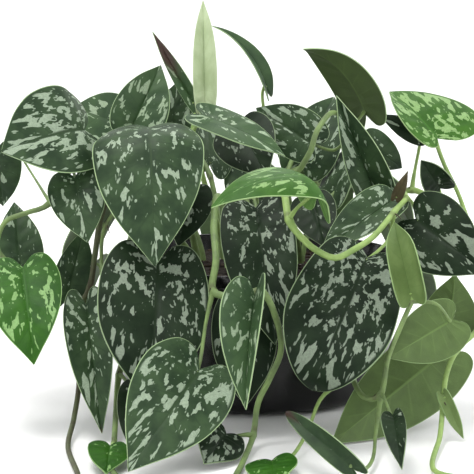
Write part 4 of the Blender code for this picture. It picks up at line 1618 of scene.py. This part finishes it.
@dataclass
class Pot:
    """The plain round pot with its stepped rim and four drain holes.

    The holes are turned by a share of half a side, so that no cut runs along an edge.
    """

    height: float = 100 * MM
    rim_radius: float = 110 * MM
    rim_height: float = 9 * MM
    top_radius: float = 107 * MM
    foot_radius: float = 103 * MM
    base_radius: float = 90 * MM
    wall: float = 3 * MM
    floor: float = 4 * MM
    corner: float = 9 * MM
    sides: int = 144
    holes: int = 4
    hole_radius: float = 4 * MM
    hole_ring: float = 58 * MM
    hole_sides: int = 32
    hole_turn: float = 0.6
    step_edge: float = 0.8 * MM
    lip_steps: int = 8
    side_steps: int = 12

    def profile(self) -> list[Pair]:
        """The section, from the top of the rim down the outside and up the inside."""
        lip = self.wall / 2
        rim = (self.rim_radius - lip, self.height - lip)
        edge = self.step_edge
        low = self.height - self.rim_height
        below = low - edge
        slopes = [step / self.side_steps for step in range(1, self.side_steps)]
        corner = (self.foot_radius - self.base_radius, self.corner)
        return [
            *arc(rim, (lip, lip), 90, 0, self.lip_steps),
            (self.rim_radius, low + edge),
            (self.rim_radius - edge * 0.3, low + edge * 0.3),
            (self.rim_radius - edge, low),
            (self.top_radius + edge, low),
            (self.top_radius + edge * 0.3, low - edge * 0.3),
            (self.top_radius, below),
            *(
                (
                    self.top_radius + (self.foot_radius - self.top_radius) * share,
                    below + (self.corner - below) * share,
                )
                for share in slopes
            ),
            *arc((self.base_radius, self.corner), corner, 0, -90, self.side_steps),
            (self.hole_ring, 0),
            (0, 0),
            (0, self.floor),
            (self.base_radius - self.wall, self.floor),
            (self.foot_radius - self.wall, self.corner + self.floor),
            (self.top_radius - self.wall, low),
            *arc(rim, (lip, lip), 180, 90, self.lip_steps)[:-1],
        ]

    def finish(self) -> bpy.types.Material:
        """Glossy black plastic with a faint haze and fine rubbed marks."""
        wiring = Wiring("pot_gloss_black")
        haze = wiring.noise(wiring.place(), scale=14, detail=4, rough=0.6)
        rub = wiring.noise(wiring.stretched(wiring.place(), (40, 40, 400)), 1, detail=3, rough=0.7)
        rough = wiring.total(
            wiring.between(haze, 0.3, 0.75, 0.15, 0.26), wiring.between(rub, 0.6, 0.8, 0, 0.06)
        )
        dust = wiring.between(haze, 0.5, 0.8, 0, 0.3)
        colour = wiring.mix(dust, (0.004, 0.0042, 0.0045), (0.012, 0.012, 0.0115))
        wiring.bump(rub, distance=0.08 * MM, strength=0.3)
        gloss = {"Specular_IOR_Level": 0.32, "Coat_Weight": 0.08, "Coat_Roughness": 0.08}
        return wiring.finish(colour, rough, **gloss)

    def build(self) -> bpy.types.Object:
        """The turned pot with its drain holes cut."""
        piece = Modelling.turned("pot_fine", self.profile(), self.sides, ring=True)
        for number in range(self.holes):
            turn = 2 * pi * number / self.holes
            self.cut_hole(piece, (self.hole_ring * cos(turn), self.hole_ring * sin(turn), 0))
        piece.data.materials.clear()
        piece.data.materials.append(self.finish())
        Modelling.smooth(piece, 35)
        return piece

    def cut_hole(self, piece: bpy.types.Object, middle: Triple) -> None:
        """Cuts one round hole through the floor."""
        Modelling.clear_selection()
        bpy.ops.mesh.primitive_cylinder_add(
            vertices=self.hole_sides,
            radius=self.hole_radius,
            depth=3 * self.floor,
            location=middle,
            rotation=(0, 0, pi / self.hole_sides * self.hole_turn),
        )
        cutter = bpy.context.object
        cut = piece.modifiers.new("Hole", "BOOLEAN")
        cut.operation = "DIFFERENCE"
        cut.object = cutter
        cut.solver = "EXACT"
        Modelling.apply_all(piece)
        bpy.data.objects.remove(cutter)


@dataclass
class Soil:
    """The compost in the pot: a rough mound with crumbs and bark on it.

    Its lumps and swells are noise at a scale, and fade out where it meets the wall.
    """

    top: float = SOIL_TOP
    mound: float = 3 * MM
    reach: float = 103.4 * MM
    foot_radius: float = 85 * MM
    base: float = 4.4 * MM
    grid: int = 120
    lump_scale: float = 90
    swell_scale: float = 22
    roughness: float = 1.6 * MM
    sunk: float = 0.8 * MM
    edge_share: float = 0.06
    crumbs: int = 420
    crumb_sizes: Pair = (0.8, 2.6)
    pale_share: float = 0.08
    pale_size: float = 0.7

    def height(self, x: float, y: float) -> float:
        """The surface's height above the pot's base."""
        out = sqrt(x * x + y * y) / self.reach
        place = Vector((x, y, 0))
        lumps = noise.fractal(place * self.lump_scale, 0.9, 2.1, 4) * self.roughness
        swell = noise.noise(place * self.swell_scale) * self.roughness
        edge = ease((1 - out) / self.edge_share)
        return self.top + self.mound * (1 - out * out) + (lumps + swell) * edge - self.sunk

    def mound_piece(self) -> bpy.types.Object:
        """The closed mound, down to just above the pot's floor."""
        Modelling.clear_selection()
        bpy.ops.mesh.primitive_grid_add(x_subdivisions=self.grid, y_subdivisions=self.grid, size=2)
        piece = bpy.context.object
        for vertex in piece.data.vertices:
            u, v = vertex.co.x, vertex.co.y
            x = u * sqrt(1 - v * v / 2) * self.reach
            y = v * sqrt(1 - u * u / 2) * self.reach
            vertex.co = Vector((x, y, self.height(x, y)))
        shape = bmesh.new()
        shape.from_mesh(piece.data)
        rim = [edge for edge in shape.edges if edge.is_boundary]
        skirt = bmesh.ops.extrude_edge_only(shape, edges=rim)["geom"]
        shrink = self.foot_radius / self.reach
        for vertex in [item for item in skirt if isinstance(item, bmesh.types.BMVert)]:
            vertex.co = Vector((vertex.co.x * shrink, vertex.co.y * shrink, self.base))
        bmesh.ops.holes_fill(shape, edges=[edge for edge in shape.edges if edge.is_boundary])
        bmesh.ops.recalc_face_normals(shape, faces=shape.faces)
        shape.to_mesh(piece.data)
        shape.free()
        # The mound's compost, with painted shade in its hollows
        mound_finish = self.finish("soil_mound", (0.008, 0.0055, 0.0035), (0.026, 0.017, 0.010))
        piece.data.materials.append(mound_finish)
        Modelling.smooth(piece)
        return piece

    def crumb(
        self, random: Random, bark: bpy.types.Material, stones: bpy.types.Material
    ) -> bpy.types.Object:
        """One crumb of compost or one pale grain, half sunk in the mound.

        Args:
            random: Where its place, size and form are drawn from.
            bark: The material of a crumb.
            stones: The material of a grain.

        Returns:
            The crumb.
        """
        out = sqrt(random.random()) * self.reach * 0.95
        turn = random.uniform(0, 2 * pi)
        x, y = out * cos(turn), out * sin(turn)
        size = random.uniform(*self.crumb_sizes) * MM
        pale = random.random() < self.pale_share
        size = size * self.pale_size if pale else size
        Modelling.clear_selection()
        bpy.ops.mesh.primitive_ico_sphere_add(subdivisions=2, radius=1)
        piece = bpy.context.object
        stretch = Vector((random.uniform(0.8, 1.9), random.uniform(0.6, 1.1), random.uniform(0.4, 0.8)))
        spin = Matrix.Rotation(random.uniform(0, 2 * pi), 3, "Z")
        middle = Vector((x, y, self.height(x, y) + size * 0.2))
        shift = Vector((random.uniform(0, 9), random.uniform(0, 9), 0))
        for vertex in piece.data.vertices:
            rough = 1 + 0.35 * noise.noise(vertex.co * 1.6 + shift)
            vertex.co = spin @ Vector(a * b for a, b in zip(vertex.co * rough, stretch)) * size + middle
        piece.data.materials.append(stones if pale else bark)
        return piece

    def finish(self, name: str, deep: Colour, light: Colour) -> bpy.types.Material:
        """Damp compost, with painted shade that darkens its hollows.

        Args:
            name: The material's name.
            deep: The colour of its hollows, a painted shade.
            light: The colour of what stands out.

        Returns:
            The material.
        """
        wiring = Wiring(name)
        clod = wiring.noise(wiring.place(), scale=160, detail=4, rough=0.65)
        fine = wiring.noise(wiring.place(), scale=900, detail=3, rough=0.7)
        # Painted shade: the low places of the clod relief are darker
        colour = wiring.mix(wiring.between(clod, 0.35, 0.7), deep, light)
        colour = wiring.mix(wiring.between(fine, 0.62, 0.8, 0, 0.5), colour, shaded(light, 1.7))
        wiring.bump(wiring.total(clod, fine), distance=1.2 * MM, strength=0.8)
        dryness = wiring.between(clod, 0.3, 0.8, 0.95, 0.75)
        return wiring.finish(colour, dryness, Specular_IOR_Level=0.25)

    def build(self) -> bpy.types.Object:
        """The mound with its crumbs, as one piece."""
        random = Random(7)
        bark = self.finish("soil_bark", (0.014, 0.009, 0.005), (0.050, 0.030, 0.016))
        stones = self.finish("soil_grains", (0.22, 0.20, 0.17), (0.42, 0.40, 0.35))
        parts = [self.mound_piece()]
        parts += [self.crumb(random, bark, stones) for _ in range(self.crumbs)]
        piece = Modelling.joined(parts, "soil_fine")
        Modelling.smooth(piece)
        return piece


@dataclass(frozen=True)
class Lamp:
    """One soft square lamp: its place, the point that it faces, its side and its watts."""

    name: str
    place: Triple
    aim: Triple
    side: float
    power: float
    colour: Colour = (1.0, 1.0, 1.0)

    def build(self) -> None:
        """Hangs the lamp and turns it to the point that it faces."""
        light = bpy.data.lights.new(self.name, "AREA")
        light.shape = "SQUARE"
        light.size = self.side
        light.energy = self.power
        light.color = self.colour
        lamp = Modelling.added(self.name, light)
        lamp.location = self.place
        towards = Vector(self.aim) - Vector(self.place)
        lamp.rotation_euler = towards.to_track_quat("-Z", "Y").to_euler()


PLANT_MIDDLE = (0, 0, 0.14)
LAMPS = (
    Lamp("lamp_above", (-0.4, -0.3, 1.7), PLANT_MIDDLE, 0.7, 21, (1.0, 0.99, 0.97)),
    Lamp("lamp_right", (1.4, -0.4, 1.1), PLANT_MIDDLE, 0.8, 5, (0.98, 1.0, 1.0)),
    Lamp("lamp_behind", (0.2, 1.0, 1.5), PLANT_MIDDLE, 1.0, 9),
)


@dataclass
class Studio:
    """The pale floor that sweeps up into a wall all round, the lights and the camera.

    The lamps for the wall hang in a ring inside it and face it. The places of that ring and
    of what it faces are pairs: how far out, and how high.
    """

    radius: float = 2.6
    turn: float = 0.9
    wall: float = 1.4
    sides: int = 96
    bend_steps: int = 12
    wall_lamps: int = 6
    wall_lamp_place: Pair = (1.6, 2.2)
    wall_lamp_aim: Pair = (3.4, 0.5)
    wall_lamp_side: float = 1.2
    wall_lamp_power: float = 34
    air_colour: Colour = (0.97, 0.985, 1.0)
    air_strength: float = 0.36

    def section(self) -> list[Pair]:
        """The cove's section, from the middle of the floor to the top of the wall."""
        floor = [(self.radius * share, 0.0) for share in (0.0, 0.25, 0.5, 0.75, 1.0)]
        bend = arc((self.radius, self.turn), (self.turn, self.turn), -90, 0, self.bend_steps)[1:]
        return [*floor, *bend, (self.radius + self.turn, self.turn + self.wall)]

    def backdrop(self) -> bpy.types.Object:
        """One round sheet: floor, bend and wall."""
        sheet = Modelling.turned("studio_backdrop", self.section(), self.sides, ring=False)
        wiring = Wiring("studio_paper")
        cloud = wiring.noise(wiring.place(), scale=3)
        colour = wiring.mix(wiring.between(cloud, 0.3, 0.7), (0.84, 0.84, 0.84), (0.87, 0.87, 0.868))
        sheet.data.materials.append(wiring.finish(colour, 0.9, Specular_IOR_Level=0.1))
        sheet.data.shade_smooth()
        return sheet

    def camera(self) -> None:
        """The camera at the picture's viewing angle."""
        lens = bpy.data.cameras.new("view")
        lens.sensor_width = 36
        lens.lens = lens.sensor_width * VIEW_FOCAL_PIXELS / VIEW_PIXELS
        lens.clip_start = 0.05
        view = Modelling.added("view", lens)
        view.location = EYE
        view.rotation_euler = (pi / 2 - EYE_PITCH, 0, 0)
        bpy.context.scene.camera = view

    def light_wall(self) -> None:
        """The ring of lamps that keeps the wall pale from every side."""
        out, height = self.wall_lamp_place
        aim_out, aim_height = self.wall_lamp_aim
        for number in range(self.wall_lamps):
            turn = 2 * pi * (number + 0.5) / self.wall_lamps
            outward = Vector((cos(turn), sin(turn), 0))
            place = outward * out + Vector((0, 0, height))
            aim = outward * aim_out + Vector((0, 0, aim_height))
            name = f"lamp_on_wall_{number}"
            Lamp(name, place, aim, self.wall_lamp_side, self.wall_lamp_power).build()

    def build(self) -> None:
        """The whole studio."""
        self.backdrop()
        self.camera()
        for lamp in LAMPS:
            lamp.build()
        self.light_wall()
        world = bpy.data.worlds.new("studio_air")
        world.use_nodes = True
        air = world.node_tree.nodes["Background"]
        air.inputs["Color"].default_value = (*self.air_colour, 1)
        air.inputs["Strength"].default_value = self.air_strength
        bpy.context.scene.world = world
        bpy.context.scene.view_settings.view_transform = "Standard"


def main() -> None:
    """Builds the sub-assemblies in order."""
    logging.basicConfig(level=logging.INFO, format="%(message)s")
    Studio().build()
    leaf_materials = {finish.tone: finish.materials() for finish in LEAF_FINISHES}
    stem_materials = {finish.tone: finish.material() for finish in STEM_FINISHES}
    Modelling.placed(Pot().build(), "pot", "pot_gloss")
    Modelling.placed(Soil().build(), "soil", "soil_dark")
    for stem in STEMS + BACK_SPRAYS:
        piece = StemPiece(stem).build(stem_materials, leaf_materials)
        Modelling.placed(piece, stem.name, "stem_brown" if stem.woody else "stem_green")
        for leaf in stem.leaves:
            if leaf.fused:
                continue
            blade = LeafPiece(leaf).build(leaf_materials)
            blade.name = f"{leaf.name}_fine"
            Modelling.placed(blade, leaf.name, "leaf_young" if leaf.young else "leaf_satin")


if __name__ == "__main__":
    main()
